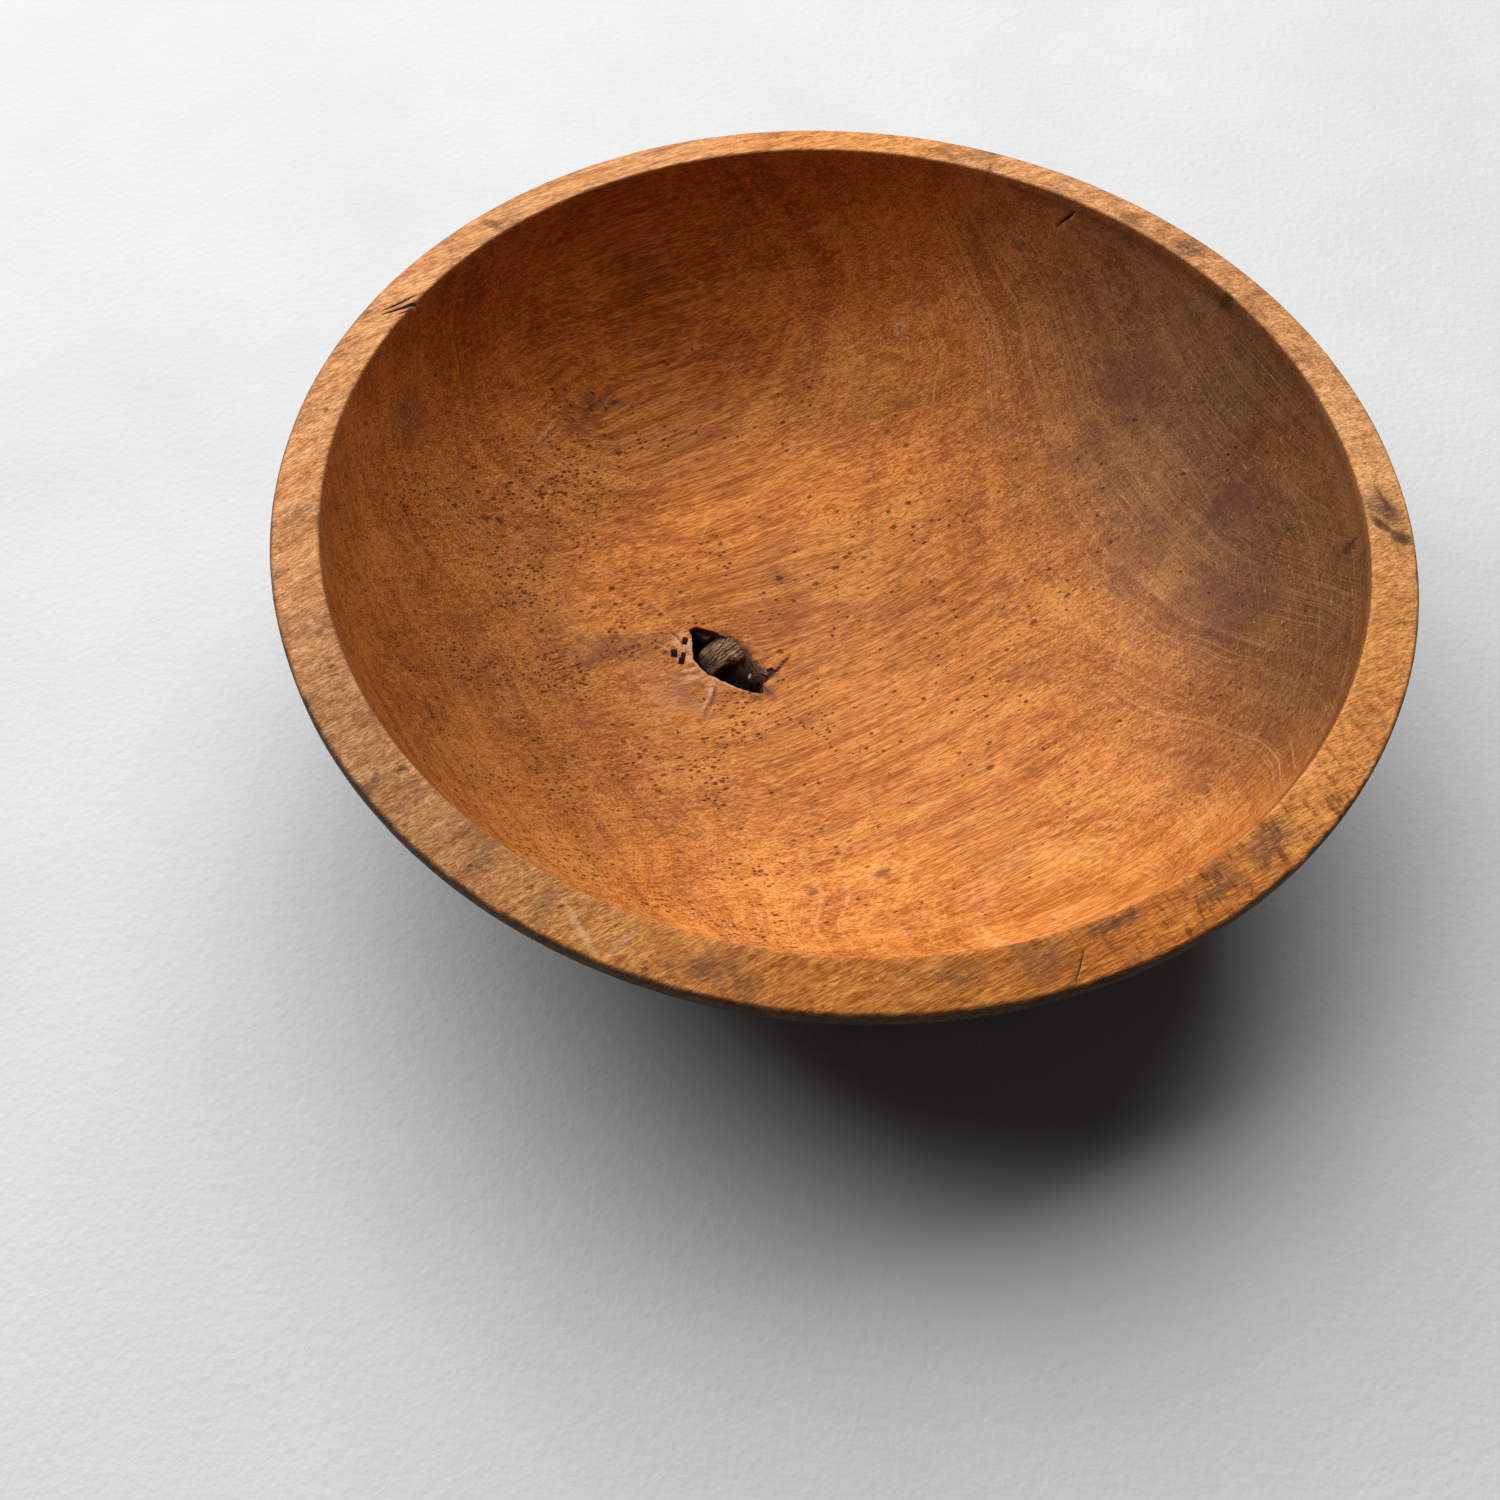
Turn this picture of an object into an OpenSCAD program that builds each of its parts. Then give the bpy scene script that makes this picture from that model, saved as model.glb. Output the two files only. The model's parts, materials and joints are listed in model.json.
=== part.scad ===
// Turned hardwood dough bowl with a dead branch knot in its floor.
// Millimetres. The bowl stands on z = 0, its axis is the z axis, and y points away from the front.
// The grain runs level, turned grain_turn from the x axis.

/* [Bowl] */
// Largest width, across the rim's outer face
bowl_d = 457; // [400:1:540]
// Height of the rim's inner edge, the highest edge, above the table
bowl_h = 127; // [105:1:150]
// Thickness of the floor in the middle of the hollow
floor_t = 22; // [17:0.5:30]
// Squareness of the hollow's section, 2 for an ellipse and more for a flatter floor
hollow_squareness = 2.5; // [2.1:0.1:2.8]
// Height over the rim at which the hollow's wall would stand upright
hollow_rise = 36; // [20:1:60]
// Lean of the outer wall under the rim, from upright
wall_lean = 30; // [22:1:34]
// Width of the flat foot
foot_d = 194; // [150:1:230]
// Height of the foot's upright edge
foot_h = 2.5; // [1.5:0.5:6]
// Bevel worn round the foot's lower edge
foot_bevel = 1; // [0.4:0.1:1.2]
// Lean of the outer wall where it meets the foot, from upright
foot_lean = 63; // [58:1:70]

/* [Rim] */
// Width of the rim's top face, with both its rounded edges
rim_w = 20.2; // [16:0.1:26]
// Fall of the rim's top face from its inner edge to its outer edge
rim_fall = 4.4; // [1:0.1:8]
// Height of the rim's upright outer face, with its rounded edges
rim_face_h = 7; // [5:0.5:12]
// Radius worn on the rim's inner edge
inner_edge_r = 1.2; // [0.4:0.1:3]
// Radius worn on the rim's outer edge
outer_edge_r = 2.2; // [0.8:0.1:3]
// Radius where the rim's outer face turns under into the wall
under_edge_r = 3; // [1:0.5:4]

/* [Rim splits] */
// Angle round the rim, from the x axis, where the two drying splits lie
split_azimuth = 154.5; // [0:0.5:360]
// Length of the longer split
split_l = 15; // [6:0.5:18]
// Width of each split
split_w = 0.9; // [0.5:0.1:2]
// Depth of each split under the rim's top face
split_depth = 2.5; // [1:0.5:6]
// Distance between the two splits
split_gap = 4; // [2:0.5:8]

/* [Knot hole] */
// Distance of the hole's middle from the bowl's axis, towards the left
knot_left = 46; // [20:1:70]
// Distance of the hole's middle from the bowl's axis, towards the front
knot_front = 13.9; // [0:0.1:50]
// Angle by which the hole's length is turned clockwise from the x axis
hole_turn = 41; // [0:1:90]
// Length of the hole
hole_l = 46; // [34:1:60]
// Width of the hole
hole_w = 22; // [18:0.5:30]
// Depth of the hole under the middle of the bowl's floor
hole_depth = 12; // [9:0.5:16]

/* [Knot core] */
// Length of the broken branch core, along the hole
core_l = 20; // [14:0.5:21]
// Width of the core, across the hole
core_w = 19.5; // [12:0.5:20]
// Slope of the core's broken top, down towards the front of the hole
core_slope = 20; // [8:1:28]
// Slope of the facet that breaks away on the core's left
core_left_slope = 34; // [24:1:44]
// Drop of that facet's upper edge under the core's highest corner
core_left_drop = 2; // [1:0.2:4]
// Drop of the core's highest corner under the middle of the bowl's floor
core_drop = 0.8; // [0.4:0.1:3]
// Width of the split in the core's top
core_split_w = 0.8; // [0.5:0.1:1.5]
// Depth of the split in the core's top
core_split_depth = 2.4; // [1:0.2:4]

/* [Knot bark] */
// Thickness of the bark between the core and the bottom of the hole
bark_t = 3; // [2:0.5:4]
// Depth to which the core is sunk in the bark
core_seat = 1.6; // [1:0.1:2]
// Slope of the bark's surface, down towards the front of the hole
bark_slope = 38; // [30:1:45]
// Drop of the bark's upper edge under the middle of the bowl's floor
bark_drop = 1.2; // [0.6:0.1:3]
// Clearance of the bark in the hole, and of the core in the bark
knot_fit = 0.25; // [0.1:0.05:0.5]

/* [Hidden] */
$fn = 120;

// Angle of the grain from the x axis
grain_turn = 31;
// How far every cutting shape runs past the surface that it cuts
overrun = 3;
// Straight steps in the section of the hollow, of the outer wall and of each rounded edge
hollow_steps = 36;
wall_steps = 24;
edge_steps = 5;

// Rim: radii of its edges and the slope of its top face
rim_outer_r = bowl_d / 2;
rim_inner_r = rim_outer_r - rim_w;
rim_slope = atan2(rim_fall, rim_w);

// Hollow: half height of its section, and the wall's lean where it meets the rim
hollow_half_h = bowl_h - floor_t + hollow_rise;
rise_share = hollow_rise / hollow_half_h;
widest_share = pow(1 - pow(rise_share, hollow_squareness), 1 / hollow_squareness);
lean_share = pow(rise_share / widest_share, hollow_squareness - 1);
hollow_lean = atan(rim_inner_r / widest_share / hollow_half_h * lean_share);

// Rim's worn edges: the centres of their rounds
inner_round = [rim_inner_r + inner_edge_r * cos(hollow_lean), bowl_h - inner_edge_r];
outer_round_r = rim_outer_r - outer_edge_r;
outer_round_fall = (outer_round_r - inner_round[0]) * tan(rim_slope);
outer_round_rise = (inner_edge_r - outer_edge_r) / cos(rim_slope);
outer_round = [outer_round_r, inner_round[1] - outer_round_fall + outer_round_rise];
under_round = [rim_outer_r - under_edge_r, bowl_h - rim_fall - rim_face_h + under_edge_r * sin(wall_lean)];

// Hollow's top point on the inner round, and the half width of its section
hollow_top_z = inner_round[1] + inner_edge_r * sin(hollow_lean);
hollow_top_share = (bowl_h + hollow_rise - hollow_top_z) / hollow_half_h;
hollow_top_angle = asin(pow(hollow_top_share, hollow_squareness / 2));
hollow_half_w = rim_inner_r / pow(cos(hollow_top_angle), 2 / hollow_squareness);

// Outer wall: a curve from the rim's under edge to the foot, drawn to the corner of its two leans
wall_top = under_round + under_edge_r * [cos(wall_lean), -sin(wall_lean)];
wall_foot = [foot_d / 2, foot_h];
wall_run = wall_top - wall_foot;
wall_reach = (wall_run[0] * cos(wall_lean) - wall_run[1] * sin(wall_lean)) / sin(foot_lean - wall_lean);
wall_corner = wall_foot + wall_reach * [sin(foot_lean), cos(foot_lean)];

// Knot hole: its bottom, the top of the bark's flat bottom layer and of its slope
hole_z = floor_t - hole_depth;
bark_top_z = hole_z + bark_t;
bark_edge_z = floor_t - bark_drop;

// Core: its underside in the bark, its highest corner, and the split across its top
core_z = bark_top_z - core_seat;
core_top_z = floor_t - core_drop;
core_split_z = core_top_z - core_w / 2 * tan(core_slope) - core_split_depth;
core_split_turn = 20;

// Outline of the hole, as shares of its length and width, from its left end round by the front
hole_shares = [
    [-0.50, 0.00], [-0.44, -0.06], [-0.36, -0.20], [-0.28, -0.36], [-0.19, -0.47], [-0.04, -0.50],
    [0.09, -0.43], [0.25, -0.33], [0.40, -0.19], [0.50, -0.02], [0.44, 0.14], [0.40, 0.34],
    [0.28, 0.32], [0.16, 0.40], [0.04, 0.46], [-0.10, 0.50], [-0.22, 0.46], [-0.33, 0.36],
    [-0.47, 0.20]
];
// Outline of the core, as shares of its length and width, in the same order
core_shares = [
    [-0.50, -0.10], [-0.24, -0.42], [0.10, -0.50], [0.22, -0.43], [0.24, -0.20], [0.27, 0.02],
    [0.50, 0.28], [0.34, 0.40], [-0.04, 0.50], [-0.35, 0.44], [-0.46, 0.36]
];
// Place of the core's middle in the hole, as shares of the hole's length and width
core_place_shares = [-0.10, 0.02];
// Where the core's left facet starts, from its middle, as a share of its length
core_facet_share = -0.22;
// Where the split crosses the core's top, from its middle, as a share of its length
core_split_share = -0.06;
// Where the bark's slope starts, from the hole's middle, as a share of the hole's length
bark_slope_share = 0.06;

// Points of a rounded edge between two angles about its centre
function edge_arc(centre, radius, from, to) = [
    for (i = [0 : edge_steps])
    let (a = from + (to - from) * i / edge_steps)
    centre + radius * [cos(a), sin(a)]
];

// A power that also takes the tiny negative numbers that rounding leaves
function power(value, exponent) = value <= 0 ? 0 : pow(value, exponent);

// Section of the hollow, from the axis up to the last step under the rim's rounded inner edge
function hollow_profile() = [
    for (i = [0 : hollow_steps - 1])
    let (a = 90 + (hollow_top_angle - 90) * i / hollow_steps)
    let (bend = 2 / hollow_squareness)
    [hollow_half_w * power(cos(a), bend), bowl_h + hollow_rise - hollow_half_h * power(sin(a), bend)]
];

// Section of the outer wall, from the rim's under edge down to the foot
function wall_profile() = [
    for (i = [1 : wall_steps])
    let (t = i / wall_steps)
    pow(1 - t, 2) * wall_top + 2 * t * (1 - t) * wall_corner + pow(t, 2) * wall_foot
];

// Whole section of the bowl, right of its axis
function bowl_profile() = concat(
    hollow_profile(),
    edge_arc(inner_round, inner_edge_r, 180 - hollow_lean, 90 - rim_slope),
    edge_arc(outer_round, outer_edge_r, 90 - rim_slope, 0),
    edge_arc(under_round, under_edge_r, 0, -wall_lean),
    wall_profile(),
    [
        [foot_d / 2, foot_bevel],
        [foot_d / 2 - foot_bevel, 0],
        [0, 0]
    ]
);

// Outline given in shares, brought to size with a clearance all round
function outline(shares, l, w, inset) = [
    for (share = shares)
    [share[0] * (l - 2 * inset), share[1] * (w - 2 * inset)]
];

// Moves to the knot hole's middle, with x along the hole and y across it
module at_knot() {
    translate([-knot_left, -knot_front, 0])
        rotate([0, 0, -hole_turn])
            children();
}

// Moves from the hole's middle to the core's middle
module at_core() {
    translate([core_place_shares[0] * hole_l, core_place_shares[1] * hole_w, 0])
        children();
}

// Upright prism with the hole's outline, from one height to another
module hole_prism(from_z, to_z, inset) {
    translate([0, 0, from_z])
        linear_extrude(to_z - from_z)
            polygon(outline(hole_shares, hole_l, hole_w, inset));
}

// Upright prism with the core's outline, from one height to another
module core_prism(from_z, to_z, inset) {
    translate([0, 0, from_z])
        linear_extrude(to_z - from_z)
            polygon(outline(core_shares, core_l, core_w, inset));
}

// Block over a sloping plane that hinges about an edge at the given height and falls towards -y
module over_slope(edge_y, edge_z, slope, size) {
    translate([0, edge_y, edge_z])
        rotate([slope, 0, 0])
            translate([-size / 2, -size / 2, 0])
                cube([size, size, size]);
}

// One drying split in the rim's top, laid along the grain
module rim_split(l, aside) {
    translate([0, aside, bowl_h - rim_fall - split_depth])
        rotate([0, 0, grain_turn - split_azimuth])
            translate([-l / 2, -split_w / 2, 0])
                cube([l, split_w, split_depth + rim_fall + overrun]);
}

// Turned body of the bowl: hollow, rim, outer wall and foot, with the knot hole and the splits
module bowl() {
    color("peru")
        difference() {
            rotate_extrude()
                polygon(bowl_profile());
            at_knot()
                hole_prism(hole_z, floor_t + hole_depth, 0);
            rotate([0, 0, split_azimuth])
                translate([rim_inner_r + rim_w / 2, 0, 0]) {
                    rim_split(split_l, split_gap / 2);
                    rim_split(split_l / 2, -split_gap / 2);
                }
        }
}

// Dark bark round the dead branch: a layer under the core and a slope on its right
module knot_bark() {
    color([0.13, 0.09, 0.07])
        at_knot()
            difference() {
                hole_prism(hole_z, bark_edge_z, knot_fit);
                difference() {
                    translate([-hole_l, -hole_w, bark_top_z])
                        cube([2 * hole_l, 2 * hole_w, hole_depth]);
                    translate([bark_slope_share * hole_l, -hole_w, hole_z])
                        cube([hole_l, 2 * hole_w, hole_depth]);
                }
                intersection() {
                    over_slope(hole_w / 2, bark_edge_z, bark_slope, 4 * hole_l);
                    translate([-hole_l, -hole_w, bark_top_z])
                        cube([2 * hole_l, 2 * hole_w, hole_depth]);
                }
                at_core()
                    core_prism(core_z, floor_t, -knot_fit);
            }
}

// Broken stub of the branch, with its end grain up, seated in the bark
module knot_core() {
    color([0.42, 0.30, 0.20])
        at_knot()
            at_core()
                difference() {
                    core_prism(core_z, core_top_z, 0);
                    over_slope(core_w / 2, core_top_z, core_slope, 4 * core_l);
                    translate([core_facet_share * core_l, 0, core_top_z - core_left_drop])
                        rotate([0, -core_left_slope, 0])
                            translate([-2 * core_l, -2 * core_w, 0])
                                cube([2 * core_l, 4 * core_w, 2 * core_l]);
                    translate([core_split_share * core_l, 0, core_split_z])
                        rotate([0, 0, core_split_turn])
                            cube([core_split_w, core_w, hole_depth]);
                }
}

bowl();
knot_bark();
knot_core();
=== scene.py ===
"""Looks of a turned hardwood dough bowl with a dead branch knot in its floor.

Metres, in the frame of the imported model: the bowl stands on z = 0, its axis is the z axis and +y points
away from the viewer. The grain runs level, turned 31 degrees from the x axis.
"""

import json
import logging
import math
from collections.abc import Callable
from dataclasses import dataclass, replace
from enum import Enum

import bmesh
import bpy
import numpy as np
from mathutils import Matrix, Vector, kdtree, noise

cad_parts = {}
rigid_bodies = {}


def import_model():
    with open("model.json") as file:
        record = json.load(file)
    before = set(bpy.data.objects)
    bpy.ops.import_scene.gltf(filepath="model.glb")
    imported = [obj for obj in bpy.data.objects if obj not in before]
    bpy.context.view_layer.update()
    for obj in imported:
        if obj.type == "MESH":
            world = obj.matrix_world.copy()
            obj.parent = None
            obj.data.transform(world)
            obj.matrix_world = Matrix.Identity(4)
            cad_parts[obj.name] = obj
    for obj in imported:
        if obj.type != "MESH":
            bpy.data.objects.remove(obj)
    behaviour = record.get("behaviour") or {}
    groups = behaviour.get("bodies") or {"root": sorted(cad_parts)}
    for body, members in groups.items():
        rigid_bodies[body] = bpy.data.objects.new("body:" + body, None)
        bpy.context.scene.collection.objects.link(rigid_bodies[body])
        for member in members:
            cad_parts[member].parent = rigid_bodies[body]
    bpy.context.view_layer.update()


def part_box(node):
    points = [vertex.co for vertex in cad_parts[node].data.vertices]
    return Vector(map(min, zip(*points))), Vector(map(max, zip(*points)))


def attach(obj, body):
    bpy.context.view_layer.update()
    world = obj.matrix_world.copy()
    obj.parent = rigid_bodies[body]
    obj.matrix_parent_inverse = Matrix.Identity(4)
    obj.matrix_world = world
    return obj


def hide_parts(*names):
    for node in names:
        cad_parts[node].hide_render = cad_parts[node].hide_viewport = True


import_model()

MM = 0.001
BODY_NUMBERS = ("rim", "outside")
GRAIN_TURN = math.radians(31)
ACROSS_GRAIN = (-0.47, 0.88, 0.0)
CURVE_STEPS = 7
MERGE_DISTANCE = 0.004 * MM
FLAT_DISTANCE = 0.002 * MM
log = logging.getLogger("dough_bowl")

Socket = bpy.types.NodeSocket
Number = float | Socket
Numbers = float | np.ndarray
Triple = tuple[float, float, float]
Stops = tuple[tuple[float, Triple], ...]


def new_object(name: str, data: bpy.types.ID) -> bpy.types.Object:
    """Makes an object in the scene.

    Args:
        name: its name.
        data: its mesh, curve, lamp or camera.

    Returns:
        The object.
    """
    made = bpy.data.objects.new(name, data)
    bpy.context.scene.collection.objects.link(made)
    return made


def point_rows(mesh: bpy.types.Mesh, name: str) -> np.ndarray:
    """The places or normals of a mesh's points.

    Args:
        mesh: the mesh.
        name: "co" for the places, "normal" for the normals.

    Returns:
        The numbers, one point a row.
    """
    values = np.empty(len(mesh.vertices) * 3)
    mesh.vertices.foreach_get(name, values)
    return values.reshape(-1, 3)


class Graph:
    """Short calls for building a node tree of shader or geometry nodes."""

    def __init__(self, tree: bpy.types.NodeTree) -> None:
        """Works on one node tree."""
        self.tree = tree

    def add(self, kind: str, inputs: dict[str | int, object] | None = None,
            **settings: object) -> bpy.types.Node:
        """Adds a node.

        Args:
            kind: Blender's name of the node type.
            inputs: values or sockets for its inputs, by name or number.
            settings: properties of the node.

        Returns:
            The new node.
        """
        node = self.tree.nodes.new(kind)
        for name, value in settings.items():
            setattr(node, name, value)
        for key, value in (inputs or {}).items():
            self.feed(node.inputs[key], value)
        return node

    def feed(self, socket: Socket, value: object) -> None:
        """Links a socket to an input, or sets the input's value.

        Args:
            socket: the input.
            value: an output socket, a number, a vector or a colour.
        """
        if isinstance(value, bpy.types.NodeSocket):
            self.tree.links.new(value, socket)
        elif value is not None:
            socket.default_value = value

    def math(self, operation: str, a: Number, b: Number = 0.0, clamp: bool = False) -> Socket:
        """Result of one Math node."""
        return self.add("ShaderNodeMath", {0: a, 1: b}, operation=operation, use_clamp=clamp).outputs[0]

    def place(self) -> Socket:
        """The place on the piece, in metres."""
        return self.add("ShaderNodeTexCoord").outputs["Object"]

    def carried(self, name: str) -> Socket:
        """A number that the piece's points carry."""
        return self.add("ShaderNodeAttribute", attribute_name=name).outputs["Fac"]

    def times(self, a: Number, b: Number) -> Socket:
        """Product of two numbers."""
        return self.math("MULTIPLY", a, b)

    def plus(self, a: Number, b: Number, clamp: bool = False) -> Socket:
        """Sum of two numbers."""
        return self.math("ADD", a, b, clamp=clamp)

    def minus(self, a: Number, b: Number) -> Socket:
        """Difference of two numbers."""
        return self.math("SUBTRACT", a, b)

    def vector(self, operation: str, a: object, b: object = None, scale: Number | None = None) -> Socket:
        """Result of one Vector Math node.

        Args:
            operation: what the node does.
            a: its first vector.
            b: its second vector, where it has one.
            scale: its number, where it has one.

        Returns:
            The vector, or the number of an operation that gives a number.
        """
        node = self.add("ShaderNodeVectorMath", {0: a}, operation=operation)
        if b is not None:
            self.feed(node.inputs[1], b)
        if scale is not None:
            self.feed(node.inputs["Scale"], scale)
        return node.outputs["Value" if operation in ("LENGTH", "DOT_PRODUCT", "DISTANCE") else "Vector"]

    def weighed(self, parts: list[tuple[float, Socket]]) -> Socket:
        """Sum of parts.

        Args:
            parts: the parts, each after its weight.

        Returns:
            The sum.
        """
        total: Number = 0.0
        for weight, part in parts:
            total = self.plus(total, self.times(part, weight))
        return total

    def combine(self, x: Number, y: Number, z: Number) -> Socket:
        """Vector made of three numbers."""
        return self.add("ShaderNodeCombineXYZ", {0: x, 1: y, 2: z}).outputs[0]

    def flat_length(self, x: Number, y: Number) -> Socket:
        """Distance from the z axis."""
        return self.vector("LENGTH", self.combine(x, y, 0.0))

    def separate(self, vector: Socket) -> tuple[Socket, Socket, Socket]:
        """The three numbers of a vector."""
        outputs = self.add("ShaderNodeSeparateXYZ", {0: vector}).outputs
        return outputs[0], outputs[1], outputs[2]

    def turned(self, vector: Socket, angle: float) -> Socket:
        """The vector in a frame that is turned about z by the angle."""
        node = self.add("ShaderNodeVectorRotate", {"Vector": vector, "Angle": -angle}, rotation_type="Z_AXIS")
        return node.outputs[0]

    def step(self, value: Number, low: Number, high: Number, start: Number = 0.0,
             end: Number = 1.0) -> Socket:
        """Smooth step from start to end while the value goes from low to high."""
        node = self.add(
            "ShaderNodeMapRange",
            {"Value": value, "From Min": low, "From Max": high, "To Min": start, "To Max": end},
            interpolation_type="SMOOTHSTEP",
        )
        return node.outputs[0]

    def noise(self, vector: Socket, detail: float, roughness: float, colour: bool = False) -> Socket:
        """Noise of grain size 1 at a vector, about 0.5.

        Args:
            vector: where it is read.
            detail: how many finer layers it has.
            roughness: how strong the finer layers are.
            colour: gives three numbers instead of one.

        Returns:
            The noise.
        """
        inputs = {"Vector": vector, "Scale": 1.0, "Detail": detail, "Roughness": roughness}
        return self.add("ShaderNodeTexNoise", inputs).outputs["Color" if colour else "Fac"]

    def even(self, vector: Socket, scale: float, detail: float, roughness: float,
             shift: Triple | None = None) -> Socket:
        """Noise with grains that are as long as they are wide.

        Args:
            vector: where it is read.
            scale: grains in a metre.
            detail: how many finer layers it has.
            roughness: how strong the finer layers are.
            shift: moves the pattern.

        Returns:
            The noise.
        """
        at = self.vector("SCALE", vector, scale=scale)
        if shift is not None:
            at = self.vector("ADD", at, shift)
        return self.noise(at, detail, roughness)

    def long(self, vector: Socket, scale: Triple, detail: float, roughness: float) -> Socket:
        """Noise with drawn-out grains, so many in a metre along each axis."""
        return self.noise(self.vector("MULTIPLY", vector, scale), detail, roughness)

    def cells(self, vector: Socket, scale: Triple, seed: float) -> tuple[Socket, Socket, Socket]:
        """Scattered cells.

        Args:
            vector: where they are read.
            scale: cells in a metre along each axis.
            seed: moves the pattern.

        Returns:
            The distance from the nearest cell's middle, and that cell's own two random numbers.
        """
        at = self.vector("ADD", self.vector("MULTIPLY", vector, scale), (seed, seed * 1.7, seed * 2.3))
        node = self.add("ShaderNodeTexVoronoi", {"Vector": at, "Scale": 1.0, "Randomness": 1.0})
        first, second, _ = self.separate(node.outputs["Color"])
        return node.outputs["Distance"], first, second

    def mix(self, share: Number, a: object, b: object, blend: str = "MIX") -> Socket:
        """Colour between two colours.

        Args:
            share: how much of b there is.
            a: a socket, a number or a colour of three numbers.
            b: the same.
            blend: how b is laid over a.

        Returns:
            The colour.
        """
        node = self.add("ShaderNodeMix", data_type="RGBA", blend_type=blend, clamp_factor=True)
        self.feed(node.inputs[0], share)
        for socket, colour in ((node.inputs[6], a), (node.inputs[7], b)):
            self.feed(socket, (*colour, 1.0) if isinstance(colour, tuple) else colour)
        return node.outputs[2]

    def tint(self, share: Number, colour: Socket, tint: Triple) -> Socket:
        """The colour, multiplied by the tint where the share is 1."""
        return self.mix(share, colour, self.mix(1.0, colour, tint, "MULTIPLY"))

    def near(self, place: Socket, glow: "Glow", wave: Socket | None = None, outer: float = 0.0) -> Socket:
        """A glow's share at a place, with its edge moved by a wave.

        Args:
            place: the place.
            glow: the round area.
            wave: moves the edge inwards, if given.
            outer: the share outside the area.

        Returns:
            The share.
        """
        away = self.vector("DISTANCE", place, glow.at)
        if wave is not None:
            away = self.plus(away, wave)
        return self.step(away, glow.low, glow.high, glow.share, outer)

    def named(self, name: str) -> Socket:
        """A number that the points of a geometry tree's mesh carry."""
        return self.add("GeometryNodeInputNamedAttribute", {"Name": name}, data_type="FLOAT").outputs[0]

    def sampled(self, mesh: Socket, index: Socket, value: Socket, kind: str = "FLOAT") -> Socket:
        """The value that a mesh's point has.

        Args:
            mesh: the mesh.
            index: the point's number.
            value: the field that is read there.
            kind: the field's data type.

        Returns:
            The value.
        """
        inputs = {"Geometry": mesh, "Value": value, "Index": index}
        return self.add("GeometryNodeSampleIndex", inputs, data_type=kind, domain="POINT").outputs[0]

    def blend(self, share: Number, a: Number, b: Number) -> Socket:
        """Number between a and b."""
        return self.add("ShaderNodeMix", {0: share, 2: a, 3: b}, data_type="FLOAT").outputs[0]

    def ramp(self, value: Socket, stops: Stops) -> Socket:
        """Colour that a ramp gives a value.

        Args:
            value: where the ramp is read, from 0 to 1.
            stops: places and colours along the ramp.

        Returns:
            The colour.
        """
        node = self.add("ShaderNodeValToRGB", {0: value})
        elements = node.color_ramp.elements
        while len(elements) < len(stops):
            elements.new(0.5)
        for element, (place, colour) in zip(elements, stops):
            element.position = place
            element.color = (*colour, 1.0)
        return node.outputs[0]


@dataclass(frozen=True)
class Finish:
    """A surface finish: the name of its material and how the material is begun and closed."""

    name: str

    def build(self) -> bpy.types.Material:
        """Builds the material.

        Returns:
            The material.
        """
        material = bpy.data.materials.new(self.name)
        material.use_nodes = True
        material.node_tree.nodes.clear()
        self.paint(Graph(material.node_tree))
        return material

    def paint(self, g: Graph) -> None:
        """Adds the finish's nodes to the material's graph."""
        raise NotImplementedError

    def close(self, graph: Graph, colour: Socket, roughness: Number, height: Socket, depth: float,
              specular: float) -> None:
        """Adds the shader, its bump and the output.

        Args:
            graph: the material's graph.
            colour: the surface's colour.
            roughness: its roughness.
            height: the bump's height, from 0 to 1.
            depth: how high 1 stands, in metres.
            specular: the strength of its reflections.
        """
        looks = {"Base Color": colour, "Roughness": roughness, "Specular IOR Level": specular}
        shader = graph.add("ShaderNodeBsdfPrincipled", looks)
        bump = graph.add("ShaderNodeBump", {"Height": height, "Distance": depth, "Strength": 1.0})
        graph.feed(shader.inputs["Normal"], bump.outputs[0])
        graph.add("ShaderNodeOutputMaterial", {"Surface": shader.outputs[0]})


class MarkKind(Enum):
    """The colour of a placed mark: a dark stain, a pale scrape, or a purple-brown, greyed or dusty patch."""

    DARK = (0.050, 0.024, 0.016)
    PALE = (0.850, 0.540, 0.290)
    PURPLE = (0.120, 0.042, 0.032)
    GREY = (0.150, 0.078, 0.045)
    DUSTY = (0.540, 0.275, 0.150)


@dataclass(frozen=True)
class Mark:
    """A stain or scrape at its place on the bowl, seen from above.

    Its place and half lengths are in millimetres, and it is turned from the x axis by an angle in degrees.
    A later mark lies over an earlier one.
    """

    kind: MarkKind
    x: float
    y: float
    half_l: float
    half_w: float
    turn: float = 0.0
    strength: float = 0.8

    @property
    def broad(self) -> bool:
        """Whether the mark is a wide soft patch."""
        return self.half_w >= 8.0


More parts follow.
